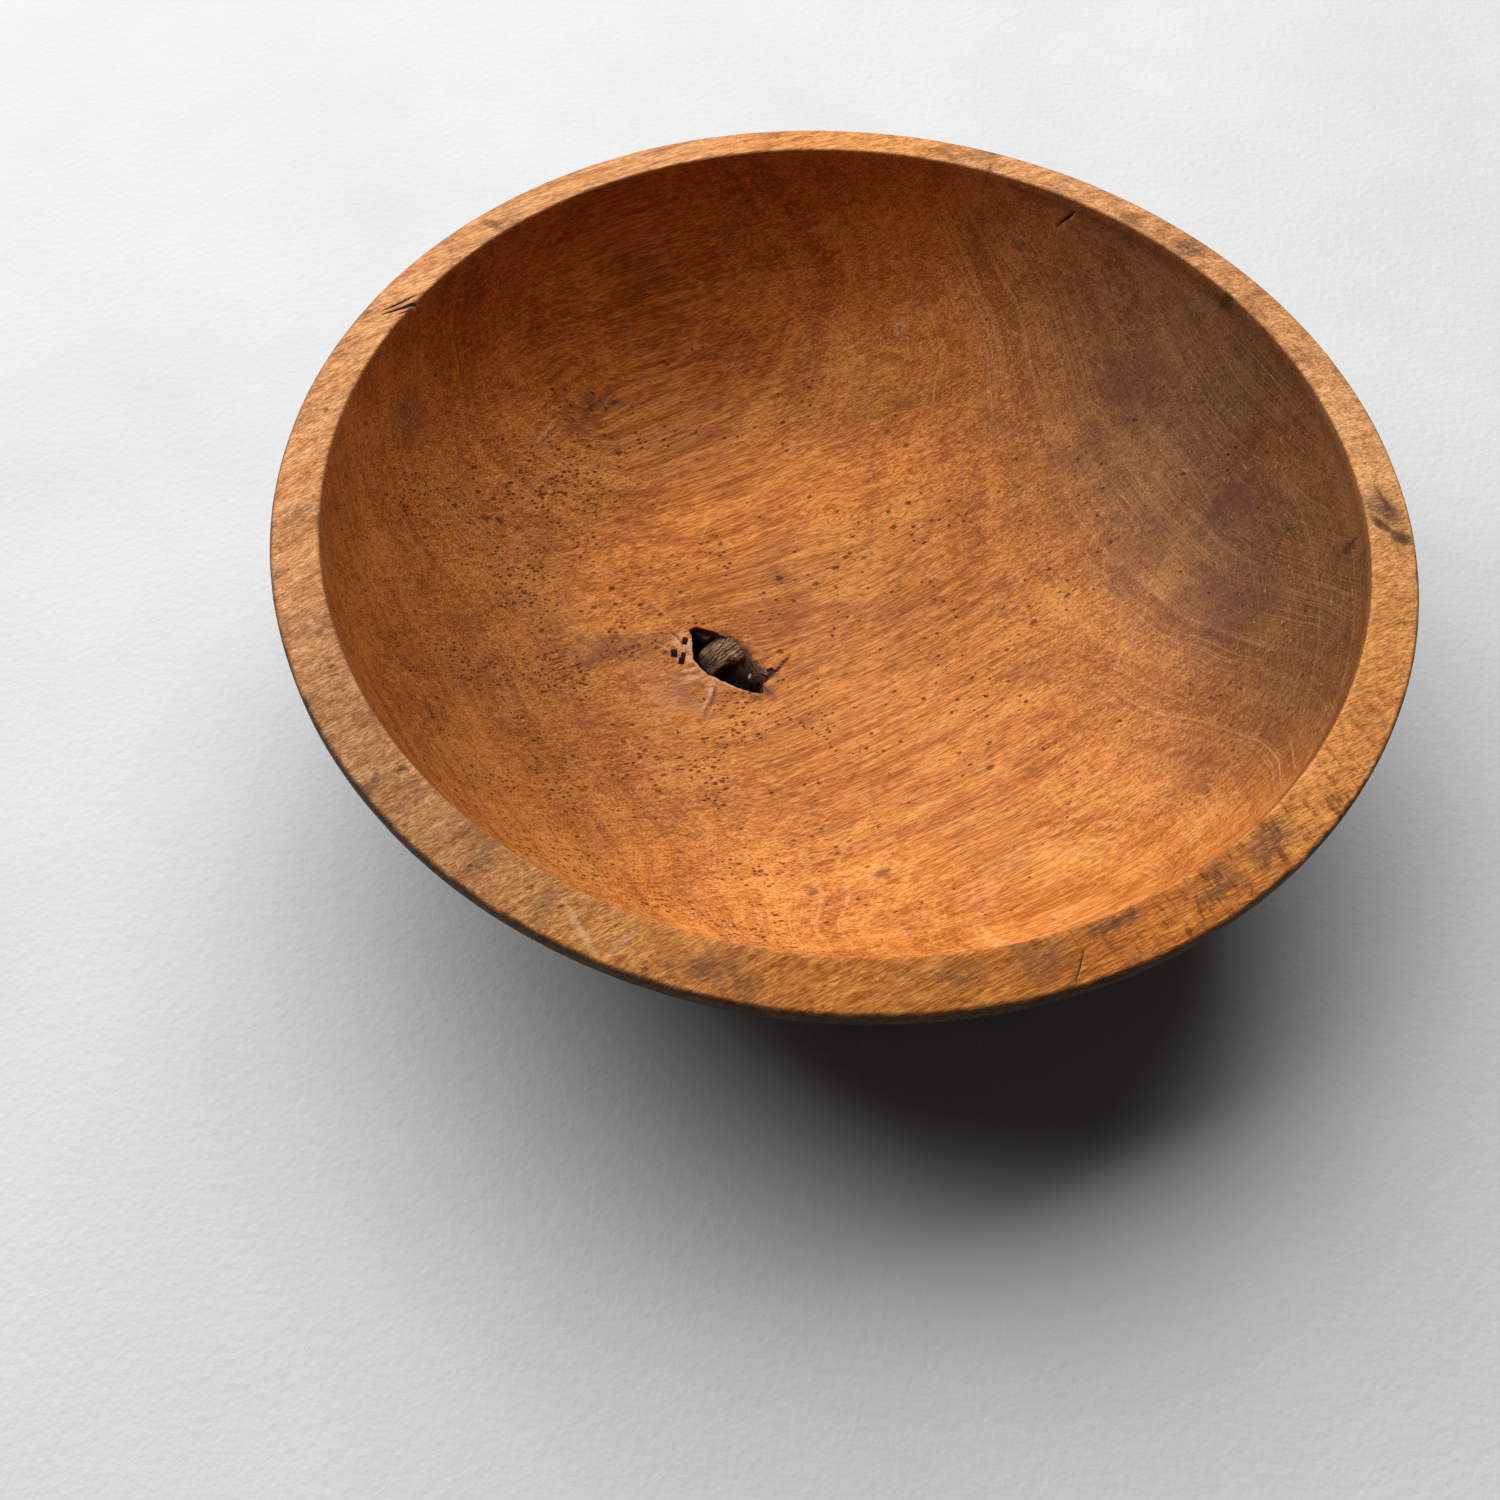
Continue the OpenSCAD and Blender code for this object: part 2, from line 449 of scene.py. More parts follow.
DARK, PALE, PURPLE, GREY, DUSTY = MarkKind
MARKS = (
    Mark(GREY, -161, 145.7, 8.5, 3, -42, 0.9),
    Mark(GREY, -153, 153, 8, 7, -45, 0.5),
    Mark(DARK, -178, 135.3, 1.6, 0.9, 50, 0.8),
    Mark(DARK, -214.3, 27.3, 2, 1.2, 80, 0.7),
    Mark(GREY, -219.3, -60.7, 8, 3.5, 80, 0.7),
    Mark(DARK, -156.5, -144.2, 4, 1.4, 15, 0.8),
    Mark(GREY, -212.4, -26.1, 8, 4, 7, 0.5),
    Mark(GREY, -166.5, -149.9, 6, 4, 42, 0.6),
    Mark(GREY, -126.2, -180.2, 8, 3, 55, 0.6),
    Mark(GREY, -100, -195, 9, 5, 63, 0.5),
    Mark(PALE, -87.9, -201.3, 14, 1.6, -56, 0.45),
    Mark(PALE, -72.9, -207.5, 9, 1.5, 43, 0.35),
    Mark(DARK, -64, -215.6, 1.8, 1, 0, 0.8),
    Mark(DARK, -56, -214.6, 5, 1.1, 3, 0.45),
    Mark(DARK, -47, -214.6, 2, 1, 0, 0.6),
    Mark(GREY, -41.8, -215, 14, 6, -11, 0.55),
    Mark(GREY, 41.2, -212, 10, 6, 11, 0.5),
    Mark(GREY, 93, -190.5, 15, 3.5, 27, 0.8),
    Mark(GREY, 72, -202, 9, 5, 20, 0.5),
    Mark(GREY, 132, -172, 13, 7, 38, 0.6),
    Mark(GREY, 153, -153, 15, 7, 45, 0.75),
    Mark(DARK, 216.2, -50.2, 2.4, 1.6, 0, 0.6),
    Mark(DARK, 222.5, -7.5, 6, 4.5, 5, 0.85),
    Mark(DARK, 214.5, -2.5, 7.5, 3.2, -32, 0.85),
    Mark(GREY, 215, 6, 12, 7, -20, 0.8),
    Mark(GREY, 152.1, 157.5, 12, 7.9, 46, 1),
    Mark(PURPLE, 219, 7.5, 15, 6.5, 108, 0.55),
    Mark(DARK, 217.5, 12, 10, 1.6, 112, 0.6),
    Mark(DARK, 166, 125.2, 3.6, 1.2, -52, 0.8),
    Mark(DARK, 205.1, -4.2, 1.6, 3, 0, 0.8),
    Mark(DARK, 80, 182.4, 5, 1, -20, 0.4),
    Mark(DARK, 62.7, 201.5, 5, 1, 73, 0.7),
    Mark(DARK, 66, 217.5, 2.5, 1.2, 73, 0.6),
    Mark(PURPLE, -112, 108, 20, 9, 31, 0.42),
    Mark(DARK, -106, 112, 2.4, 1.3, 31, 0.8),
    Mark(DARK, -109.5, 108, 1.8, 1.2, 10, 0.8),
    Mark(DARK, -113, 111, 1.5, 0.9, 31, 0.7),
    Mark(DARK, -102, 108.5, 1.3, 0.8, 31, 0.7),
    Mark(DARK, -116.5, 106, 2.6, 1, 50, 0.7),
    Mark(DARK, -119.5, 110, 1.3, 0.8, 31, 0.6),
    Mark(DARK, -98, 113, 1.2, 0.8, 31, 0.6),
    Mark(DARK, -128, 104, 1.2, 0.8, 31, 0.6),
    Mark(PALE, -135, 88, 9.5, 0.8, 62, 0.45),
    Mark(PALE, -132, 86, 7.5, 0.6, 55, 0.35),
    Mark(DARK, -133.5, 87.5, 7, 0.5, 60, 0.4),
    Mark(PURPLE, 170, 50, 13, 9, 60, 0.62),
    Mark(PURPLE, 134, 122, 30, 12, -38, 0.36),
    Mark(PURPLE, 137, 45, 26, 15, 75, 0.36),
    Mark(PURPLE, 158, 14, 22, 12, 20, 0.36),
    Mark(PURPLE, 166, -4, 16, 16, 20, 0.40),
    Mark(PURPLE, 145, -84, 30, 14, 60, 0.26),
    Mark(PURPLE, -107, -27, 6, 3, 31, 0.55),
    Mark(DUSTY, -64, -38, 20, 12, -20, 0.42),
    Mark(DUSTY, -84, -24, 9, 8, 0, 0.30),
    Mark(PURPLE, -62, -34, 12, 8, -20, 0.22),
    Mark(DARK, -67, 147, 1.6, 1, 31, 0.8),
    Mark(DARK, -63.5, 149.5, 1.2, 0.9, 31, 0.7),
    Mark(DARK, -71.5, 145, 1.3, 0.8, 31, 0.7),
    Mark(DARK, -60, 144.5, 1.5, 0.8, 31, 0.7),
    Mark(DARK, -54, 148, 1.2, 0.8, 31, 0.6),
    Mark(DARK, -76, 142, 1.1, 0.8, 31, 0.6),
    Mark(DARK, -47, 151.5, 1.4, 0.8, 31, 0.6),
    Mark(PURPLE, -20, 12, 14, 8, 31, 0.26),
    Mark(PURPLE, -70, -57, 14, 2.2, -10, 0.25),
    Mark(PURPLE, 114, 96, 22, 12, 20, 0.28),
    Mark(PURPLE, -98, -17, 34, 8, 14, 0.50),
    Mark(PURPLE, -188, 54, 18, 6, 75, 0.35),
    Mark(PURPLE, 23, -126.6, 4, 2.6, 31, 0.7),
    Mark(DARK, 26, -124.5, 1.3, 0.9, 31, 0.8),
    Mark(PURPLE, -5, -140, 3, 2, 31, 0.6),
    Mark(DARK, -156.5, 33.5, 3, 1.6, 31, 0.8),
    Mark(DARK, -150.4, 35.7, 2.4, 1.6, 31, 0.8),
    Mark(DARK, -162.5, 27.5, 2.4, 1.2, 31, 0.7),
    Mark(DARK, -148, 29, 1.6, 1.2, 31, 0.7),
    Mark(DARK, -154, 27, 1.4, 1, 31, 0.7),
    Mark(DARK, -143, 35, 1.5, 1, 31, 0.7),
    Mark(PALE, 28, 164, 3.6, 3, 31, 0.28),
    Mark(DARK, 28, 164, 1.3, 1, 31, 0.6),
)


@dataclass(frozen=True)
class Glow:
    """A round area of the bowl that is lighter, darker or warmer than the rest."""

    at: Triple
    low: float
    high: float
    share: float = 1.0
    tint: Triple = (1.0, 1.0, 1.0)


RIM_PALE = Glow((0.205, -0.045, 0.122), 0.06, 0.19)
RIM_BARRED = Glow((0.150, -0.160, 0.123), 0.03, 0.11)
RIM_GLOWS = (
    Glow((-0.010, 0.219, 0.124), 0.02, 0.09, 1.0, (1.10, 0.98, 0.72)),
    Glow((0.050, -0.212, 0.122), 0.05, 0.16, 1.0, (1.0, 0.87, 0.64)),
    Glow((-0.163, -0.143, 0.124), 0.03, 0.12, 0.9, (0.74, 0.77, 0.80)),
    Glow((0.170, -0.140, 0.123), 0.04, 0.16, 1.0, (1.06, 0.95, 0.88)),
)
# Painted light brightens the front wall of the hollow.
WALL_FRONT_PAINTED_LIGHT = Glow((0.010, -0.215, 0.075), 0.06, 0.17, 0.85, (1.26, 1.26, 1.30))
# Painted shade darkens the lower left corner of the hollow.
WALL_CORNER_PAINTED_SHADE = Glow((-0.160, -0.085, 0.075), 0.05, 0.20, 0.62, (0.42, 0.34, 0.26))


@dataclass(frozen=True)
class Pith:
    """The tree's pith, the axis of the growth rings: level, along the grain, over the bowl's floor."""

    across: float = -0.008
    height: float = 0.240


@dataclass(frozen=True)
class Eddy:
    """A place that the fibres flow round, seen from above, in metres."""

    x: float
    y: float
    radius: float

    @property
    def in_grain(self) -> tuple[float, float]:
        """The place in the grain's frame."""
        c, s = math.cos(GRAIN_TURN), math.sin(GRAIN_TURN)
        return c * self.x + s * self.y, c * self.y - s * self.x


EDDIES = (
    Eddy(-0.044, -0.014, 0.0125),
    Eddy(0.0, 0.073, 0.007),
    Eddy(0.028, 0.160, 0.008),
    Eddy(-0.120, 0.112, 0.009),
)


@dataclass(frozen=True)
class BowlWood(Finish):
    """Old oiled hardwood of the turned bowl, cut out of one log with its rings about the pith."""

    name: str = "bowl_wood"
    pith: Pith = Pith()
    knot: tuple[float, float] = (-0.0466, 0.0117)
    knot_reach: float = 0.026
    knot_push: float = 0.007
    ring_gap: float = 1.7 * MM
    marks: tuple[Mark, ...] = MARKS
    eddies: tuple[Eddy, ...] = EDDIES
    outer_r: float = 228.5 * MM
    inner_r: float = 208.3 * MM
    bump_depth: float = 0.30 * MM
    shine: float = 0.10
    dash: Triple = (0.110, 0.036, 0.014)
    pit: Triple = (0.075, 0.026, 0.012)
    dark_speck: Triple = (0.62, 0.56, 0.52)
    pale_speck: Triple = (1.22, 1.30, 1.42)
    turning_line: Triple = (0.62, 0.36, 0.20)
    ring_line: Triple = (0.80, 0.40, 0.15)
    reddish: Triple = (0.200, 0.060, 0.028)
    scratch: Triple = (0.78, 0.46, 0.24)
    # Painted light and shade in the hollow: painted shade on the far right wall, under the rim's right side
    # and on the back-left wall, painted light on the back of the floor.
    far_right_painted_shade: Triple = (0.55, 0.50, 0.46)
    under_rim_painted_shadow: Triple = (0.30, 0.24, 0.18)
    back_wall_painted_shade: Triple = (0.74, 0.56, 0.36)
    lit_back: Triple = (1.32, 1.24, 1.14)
    worn_up: Triple = (0.76, 0.43, 0.245)
    # Painted shade for the dips, creases and hole walls by the knot.
    dip_painted_shade: Triple = (0.170, 0.075, 0.050)
    deep_painted_shade: Triple = (0.045, 0.024, 0.018)
    # Painted light brightens the rim's back half; the front half is tinted a warmer orange.
    rim_back_painted_light: Triple = (1.10, 1.08, 1.06)
    rim_front: Triple = (1.0, 0.86, 0.60)
    dark_bar: Triple = (0.52, 0.42, 0.34)
    pale_bar: Triple = (1.16, 1.10, 1.02)
    rim_spot: Triple = (0.62, 0.52, 0.44)
    handled: Triple = (0.260, 0.098, 0.042)
    rim_edge: Triple = (0.040, 0.022, 0.014)
    inner_edge: Triple = (0.250, 0.110, 0.045)
    oiled: Stops = ((0.0, (0.365, 0.102, 0.018)), (0.45, (0.605, 0.196, 0.038)), (1.0, (0.840, 0.335, 0.076)))
    greyed: Stops = ((0.0, (0.158, 0.075, 0.031)), (0.5, (0.243, 0.122, 0.050)), (1.0, (0.330, 0.176, 0.077)))
    dry: Stops = ((0.0, (0.390, 0.150, 0.052)), (0.5, (0.670, 0.302, 0.112)), (1.0, (0.920, 0.500, 0.215)))
    old: Stops = ((0.0, (0.020, 0.011, 0.007)), (0.5, (0.050, 0.026, 0.013)), (1.0, (0.100, 0.052, 0.025)))

    def paint(self, g: Graph) -> None:
        """Adds the finish's nodes.

        Args:
            g: the material's graph.
        """
        place = g.place()
        rim = g.carried("rim")
        outside = g.carried("outside")
        grain = self.grain_space(g, place)
        rings, lines = self.growth(g, grain)
        fibre = self.fibre(g, grain)
        pits, pores = self.pits(g, grain, place)
        colour = self.colour(g, place, rings, lines, fibre, pits, pores, rim, outside)
        rough_noise = g.even(place, 60.0, 3.0, 0.6)
        rough = g.add("ShaderNodeMapRange", {"Value": rough_noise, "To Min": 0.42, "To Max": 0.62}).outputs[0]
        rough = g.blend(rim, rough, 0.66)
        rough = g.plus(rough, g.times(pits, 0.3), clamp=True)
        height = g.times(fibre, 0.35)
        height = g.plus(height, g.times(rings, 0.25))
        height = g.minus(height, g.times(pits, 1.6))
        height = g.minus(height, g.times(pores, 0.5))
        height = g.plus(height, g.times(self.lathe(g, place), 0.35))
        self.close(g, colour, rough, height, self.bump_depth, self.shine)

    def grain_space(self, g: Graph, place: Socket) -> Socket:
        """The place in the grain's own frame, with x along the fibres, bent by slow waves.

        Args:
            g: the material's graph.
            place: the place on the bowl.

        Returns:
            The place along, across and over the grain.
        """
        straight = g.turned(place, GRAIN_TURN)
        slow = g.noise(g.vector("MULTIPLY", straight, (6.0, 11.0, 11.0)), 2.0, 0.45, colour=True)
        wave = g.vector("MULTIPLY", g.vector("SUBTRACT", slow, (0.5, 0.5, 0.5)), (0.0, 0.018, 0.018))
        flow = g.vector("ADD", straight, wave)
        for eddy in self.eddies:
            offset = g.vector("SUBTRACT", straight, (*eddy.in_grain, 0.0))
            along, across, _ = g.separate(offset)
            squared = g.plus(g.times(along, along), g.times(across, across))
            share = g.math("DIVIDE", eddy.radius ** 2, g.plus(squared, 0.25 * eddy.radius ** 2))
            flow = g.vector("SUBTRACT", flow, g.combine(0.0, g.times(across, share), 0.0))
        return flow

    def growth(self, g: Graph, grain: Socket) -> tuple[Socket, Socket]:
        """Growth rings about the pith, parted round the knot.

        Args:
            g: the material's graph.
            grain: the place in the grain's frame.

        Returns:
            The rings' soft tone and their thin pale lines.
        """
        along, across, up = g.separate(grain)
        to_knot = g.vector("DISTANCE", g.combine(along, across, 0.0), (*self.knot, 0.0))
        near = g.math("POWER", g.math("DIVIDE", to_knot, self.knot_reach), 2.0)
        push = g.times(g.math("EXPONENT", g.times(near, -1.0)), self.knot_push)
        side = g.minus(across, self.pith.across)
        drop = g.minus(up, self.pith.height)
        squared = g.plus(g.times(side, side), g.times(drop, drop))
        radius = g.plus(g.math("SQRT", squared), push)
        count = g.math("DIVIDE", radius, self.ring_gap)
        slow_along = g.times(along, 4.0)
        fine = g.noise(g.combine(count, slow_along, 0.0), 2.0, 0.6)
        broad = g.noise(g.combine(g.times(count, 0.22), slow_along, 7.0), 2.0, 0.6)
        tone = g.plus(g.times(broad, 0.5), g.times(fine, 0.5))
        away = g.math("ABSOLUTE", g.minus(fine, 0.5))
        return tone, g.step(away, 0.0, 0.03, 1.0, 0.0)

    def fibre(self, g: Graph, grain: Socket) -> Socket:
        """Fibres along the grain: streaks on the floor, and dots where the wall cuts across them.

        Args:
            g: the material's graph.
            grain: the place in the grain's frame.

        Returns:
            The fibres' tone, about 0.5.
        """
        layers = [
            (0.14, (4.0, 85.0, 85.0), 2.0),
            (0.34, (8.0, 420.0, 420.0), 3.0),
            (0.52, (40.0, 1500.0, 1500.0), 4.0),
        ]
        return g.weighed([(weight, g.long(grain, size, detail, 0.65)) for weight, size, detail in layers])

    def pits(self, g: Graph, grain: Socket, place: Socket) -> tuple[Socket, Socket]:
        """Dark pits and fine dashes, densest on the left and lower floor.

        Args:
            g: the material's graph.
            grain: the place in the grain's frame.
            place: the place on the bowl.

        Returns:
            The pits and the dashes, from 0 to 1.
        """
        x, _, z = g.separate(place)
        left = g.times(g.step(x, -0.05, 0.03, 1.0, 0.16), g.step(z, 0.075, 0.100, 1.0, 0.08))
        back = g.vector("DOT_PRODUCT", place, ACROSS_GRAIN)
        left = g.times(left, g.step(back, 0.118, 0.145, 1.0, 0.15))
        beyond = g.times(g.step(back, 0.058, 0.080), g.step(x, -0.105, -0.055, 0.0, 0.85))
        left = g.times(left, g.minus(1.0, beyond))
        patch = g.step(g.even(place, 20.0, 3.0, 0.65), 0.43, 0.60)
        dense = g.times(left, patch)
        distance, chance, size = g.cells(grain, (150.0, 270.0, 270.0), 3.1)
        chosen = g.math("GREATER_THAN", chance, g.minus(1.0, g.times(dense, 0.95)))
        edge = g.plus(g.times(g.math("POWER", size, 1.6), 0.26), 0.07)
        ragged = g.even(place, 1500.0, 2.0, 0.6)
        distance = g.plus(distance, g.times(g.minus(ragged, 0.5), 0.14))
        soft = g.step(g.math("DIVIDE", distance, edge), 0.55, 1.25, 1.0, 0.0)
        pits = g.times(g.times(soft, chosen), g.step(ragged, 0.3, 0.7, 0.6, 1.0))
        cluster = g.even(place, 34.0, 2.0, 0.6, (3.0, 6.0, 9.0))
        cluster = g.times(left, g.step(cluster, 0.51, 0.60))
        distance, chance, size = g.cells(grain, (330.0, 520.0, 520.0), 5.7)
        chosen = g.math("GREATER_THAN", chance, g.minus(1.0, g.times(cluster, 0.85)))
        edge = g.plus(g.times(size, 0.26), 0.15)
        soft = g.step(g.math("DIVIDE", distance, edge), 0.6, 1.2, 0.9, 0.0)
        pits = g.math("MAXIMUM", pits, g.times(soft, chosen))
        distance, chance, size = g.cells(grain, (300.0, 950.0, 950.0), 9.4)
        chosen = g.math("GREATER_THAN", chance, g.step(patch, 0.0, 1.0, 0.62, 0.35))
        dashes = g.times(g.step(distance, 0.12, 0.36, 1.0, 0.0), chosen)
        return pits, g.times(dashes, g.plus(g.times(size, 0.7), 0.3))

    def lathe(self, g: Graph, place: Socket) -> Socket:
        """Faint turning lines round the bowl's axis.

        Args:
            g: the material's graph.
            place: the place on the bowl.

        Returns:
            The lines, about 0.5.
        """
        x, y, z = g.separate(place)
        radius = g.flat_length(x, y)
        around = g.vector("SCALE", place, scale=7.0)
        rings = g.combine(g.times(radius, 560.0), g.times(z, 560.0), 0.0)
        return g.noise(g.vector("ADD", rings, around), 2.0, 0.6)

    def scratches(self, g: Graph, place: Socket) -> Socket:
        """Fine pale scratches of knives and scrapers, each layer in its own direction.

        Args:
            g: the material's graph.
            place: the place on the bowl.

        Returns:
            The scratches, from 0 to 1.
        """
        total: Number = 0.0
        for turn, seed in ((0.3, 1.0), (1.25, 5.0), (2.2, 9.0)):
            at = g.vector("MULTIPLY", g.turned(place, turn), (14.0, 620.0, 620.0))
            lines = g.noise(g.vector("ADD", at, (seed, seed, seed)), 1.0, 0.5)
            total = g.math("MAXIMUM", total, g.step(lines, 0.70, 0.78))
        return total

    def colour(self, g: Graph, place: Socket, rings: Socket, lines: Socket, fibre: Socket, pits: Socket,
               dashes: Socket, rim: Socket, outside: Socket) -> Socket:
        """Colour of the wood: rings, fibres, mottling, pits, marks, the drier rim and the darker outside.

        Args:
            g: the material's graph.
            place: the place on the bowl.
            rings: the rings' tone.
            lines: the rings' pale lines.
            fibre: the fibres' tone.
            pits: the dark pits.
            dashes: the fine dashes.
            rim: 1 on the rim's top.
            outside: 1 on the outer wall and the foot.

        Returns:
            The colour.
        """
        mottle = g.even(place, 22.0, 4.0, 0.62)
        tone = g.step(g.weighed([(0.18, rings), (0.66, fibre), (0.16, mottle)]), 0.418, 0.588)
        colour = self.hollow(g, place, tone, lines)
        colour = self.by_knot(g, place, colour)
        colour = g.mix(rim, colour, self.dry_rim(g, place, tone))
        speck = g.long(g.turned(place, GRAIN_TURN), (190.0, 2100.0, 2100.0), 3.0, 0.66)
        colour = g.tint(g.step(speck, 0.40, 0.52, 0.85, 0.0), colour, self.dark_speck)
        colour = g.tint(g.step(speck, 0.50, 0.62, 0.0, 0.80), colour, self.pale_speck)
        colour = g.mix(outside, colour, g.ramp(tone, self.old))
        inner = g.minus(1.0, g.times(rim, 0.7))
        colour = g.mix(g.times(g.times(dashes, inner), 0.55), colour, self.dash)
        colour = g.mix(g.times(g.times(pits, inner), 0.85), colour, self.pit)
        return g.mix(outside, self.marked(g, place, colour), colour)

    def hollow(self, g: Graph, place: Socket, tone: Socket, lines: Socket) -> Socket:
        """Colour of the hollow: oiled, greyed at the right, with painted shade on the far right wall, under
        the rim on the right, on the back-left wall and in the lower left corner, and painted light on the
        back of the floor and on the front wall.

        Args:
            g: the material's graph.
            place: the place on the bowl.
            tone: the wood's tone.
            lines: the rings' pale lines.

        Returns:
            The colour.
        """
        x, y, z = g.separate(place)
        worn = g.even(place, 9.0, 4.0, 0.6, (4.0, 1.0, 2.0))
        wavy = g.times(g.minus(worn, 0.5), 0.07)
        right = g.step(g.plus(x, g.times(y, 0.30)), 0.08, 0.20)
        grey = g.times(right, g.step(worn, 0.30, 0.58, 0.70, 1.0))
        colour = g.mix(grey, g.ramp(tone, self.oiled), g.ramp(tone, self.greyed))
        # Painted shade darkens and greys the far right wall.
        far_right_painted_shade = g.times(g.step(x, 0.135, 0.175), g.step(g.math("ABSOLUTE", y), 0.06, 0.16, 0.75, 0.0))
        colour = g.tint(far_right_painted_shade, colour, self.far_right_painted_shade)
        turning = g.times(g.step(self.lathe(g, place), 0.56, 0.68), g.step(grey, 0.0, 1.0, 0.10, 0.15))
        colour = g.mix(turning, colour, self.turning_line)
        shown = g.step(g.even(place, 17.0, 3.0, 0.6, (2.0, 8.0, 1.0)), 0.40, 0.62, 0.06, 0.30)
        shown = g.times(shown, g.step(z, 0.027, 0.050, 0.2, 1.4))
        shown = g.times(shown, g.step(grey, 0.2, 0.9, 1.0, 0.5))
        colour = g.mix(g.times(lines, shown), colour, self.ring_line)
        reddish = g.step(g.even(place, 15.0, 4.0, 0.7, (9.0, 3.0, 5.0)), 0.54, 0.76)
        colour = g.mix(g.times(reddish, 0.38), colour, self.reddish)
        colour = g.mix(g.times(self.scratches(g, place), 0.30), colour, self.scratch)
        # Painted shadow darkens the wall just under the rim's inner edge on the right side.
        under = g.times(g.step(z, 0.1165, 0.1235, 0.0, 0.95), g.step(x, 0.02, 0.12))
        colour = g.tint(under, colour, self.under_rim_painted_shadow)
        # Painted shade darkens and reddens the back-left wall of the hollow.
        back = g.plus(g.vector("DOT_PRODUCT", place, ACROSS_GRAIN), wavy)
        colour = g.tint(g.step(back, 0.118, 0.165, 0.0, 0.85), colour, self.back_wall_painted_shade)
        radius = g.flat_length(x, y)
        # Painted light brightens the back of the floor.
        lit = g.times(g.step(back, 0.03, 0.08), g.step(g.plus(radius, wavy), 0.100, 0.135, 1.0, 0.0))
        colour = g.tint(g.times(lit, 0.8), colour, self.lit_back)
        # Painted light brightens the front wall of the hollow.
        colour = g.tint(g.near(place, WALL_FRONT_PAINTED_LIGHT, wavy), colour, WALL_FRONT_PAINTED_LIGHT.tint)
        # Painted shade darkens the lower left corner of the hollow.
        return g.tint(g.near(place, WALL_CORNER_PAINTED_SHADE, g.times(worn, 0.06)), colour, WALL_CORNER_PAINTED_SHADE.tint)

    def by_knot(self, g: Graph, place: Socket, colour: Socket) -> Socket:
        """The colour near the knot: pale where the wood is worn up, with painted shade in its dips, creases
        and down the knot hole's walls.

        Args:
            g: the material's graph.
            place: the place on the bowl.
            colour: the colour under them.

        Returns:
            The colour.
        """
        wild = g.even(place, 380.0, 3.0, 0.7)
        rough = g.plus(g.carried("relief"), g.times(g.minus(wild, 0.5), 0.7))
        # High relief is paled as wear; low relief, in dips, creases and down the hole's walls, gets painted
        # shade.
        for low, high, share, shade in (
            (0.12, 0.85, 0.78, self.worn_up),
            (-0.18, -0.75, 0.45, self.dip_painted_shade),
            (-0.60, -1.50, 0.80, self.deep_painted_shade),
        ):
            colour = g.mix(g.step(rough, low, high, 0.0, share), colour, shade)
        return colour

    def dry_rim(self, g: Graph, place: Socket, tone: Socket) -> Socket:
        """Colour of the rim: drier and lighter, with short hatching, bars and brown handling patches, and
        painted light on its back half.

        Args:
            g: the material's graph.
            place: the place on the bowl.
            tone: the wood's tone.

        Returns:
            The colour.
        """
        straight = g.turned(place, GRAIN_TURN)
        hatch = g.step(g.long(straight, (70.0, 1300.0, 1300.0), 4.0, 0.66), 0.38, 0.62)
        band = g.step(g.long(straight, (16.0, 300.0, 300.0), 3.0, 0.6), 0.38, 0.62)
        pale = g.near(place, RIM_PALE)
        tone = g.weighed([(0.22, tone), (0.46, hatch), (0.32, band)])
        dry = g.ramp(g.plus(tone, g.times(pale, 0.34), clamp=True), self.dry)
        # Painted light brightens the rim's back half, and the front half is tinted a warmer orange.
        warm_front_painted_light_back = g.step(g.vector("DOT_PRODUCT", place, (0.5, -0.9, 0.0)), 0.02, 0.19)
        dry = g.mix(warm_front_painted_light_back, g.tint(1.0, dry, self.rim_back_painted_light), g.tint(1.0, dry, self.rim_front))
        for glow in RIM_GLOWS:
            dry = g.tint(g.near(place, glow), dry, glow.tint)
        bars = g.long(straight, (300.0, 110.0, 110.0), 4.0, 0.66)
        shown = g.near(place, RIM_BARRED, outer=0.20)
        dry = g.tint(g.times(g.step(bars, 0.52, 0.64), shown), dry, self.dark_bar)
        dry = g.tint(g.times(g.step(bars, 0.48, 0.36), shown), dry, self.pale_bar)
        spotted = g.step(g.even(place, 240.0, 4.0, 0.72), 0.53, 0.63, 0.0, 0.55)
        dry = g.tint(spotted, dry, self.rim_spot)
        handled = g.step(g.even(place, 38.0, 4.0, 0.68), 0.50, 0.68)
        dry = g.mix(g.times(handled, g.step(pale, 0.0, 1.0, 0.66, 0.16)), dry, self.handled)
        x, y, _ = g.separate(place)
        ragged = g.times(g.even(place, 110.0, 4.0, 0.65), 3 * MM)
        away = g.plus(g.flat_length(x, y), ragged)
        edge = g.step(away, self.outer_r - 0.6 * MM, self.outer_r + 1.6 * MM)
        dry = g.mix(g.times(edge, 0.9), dry, self.rim_edge)
        inner = g.step(away, self.inner_r + 1.2 * MM, self.inner_r + 3.2 * MM, 0.45, 0.0)
        return g.mix(inner, dry, self.inner_edge)

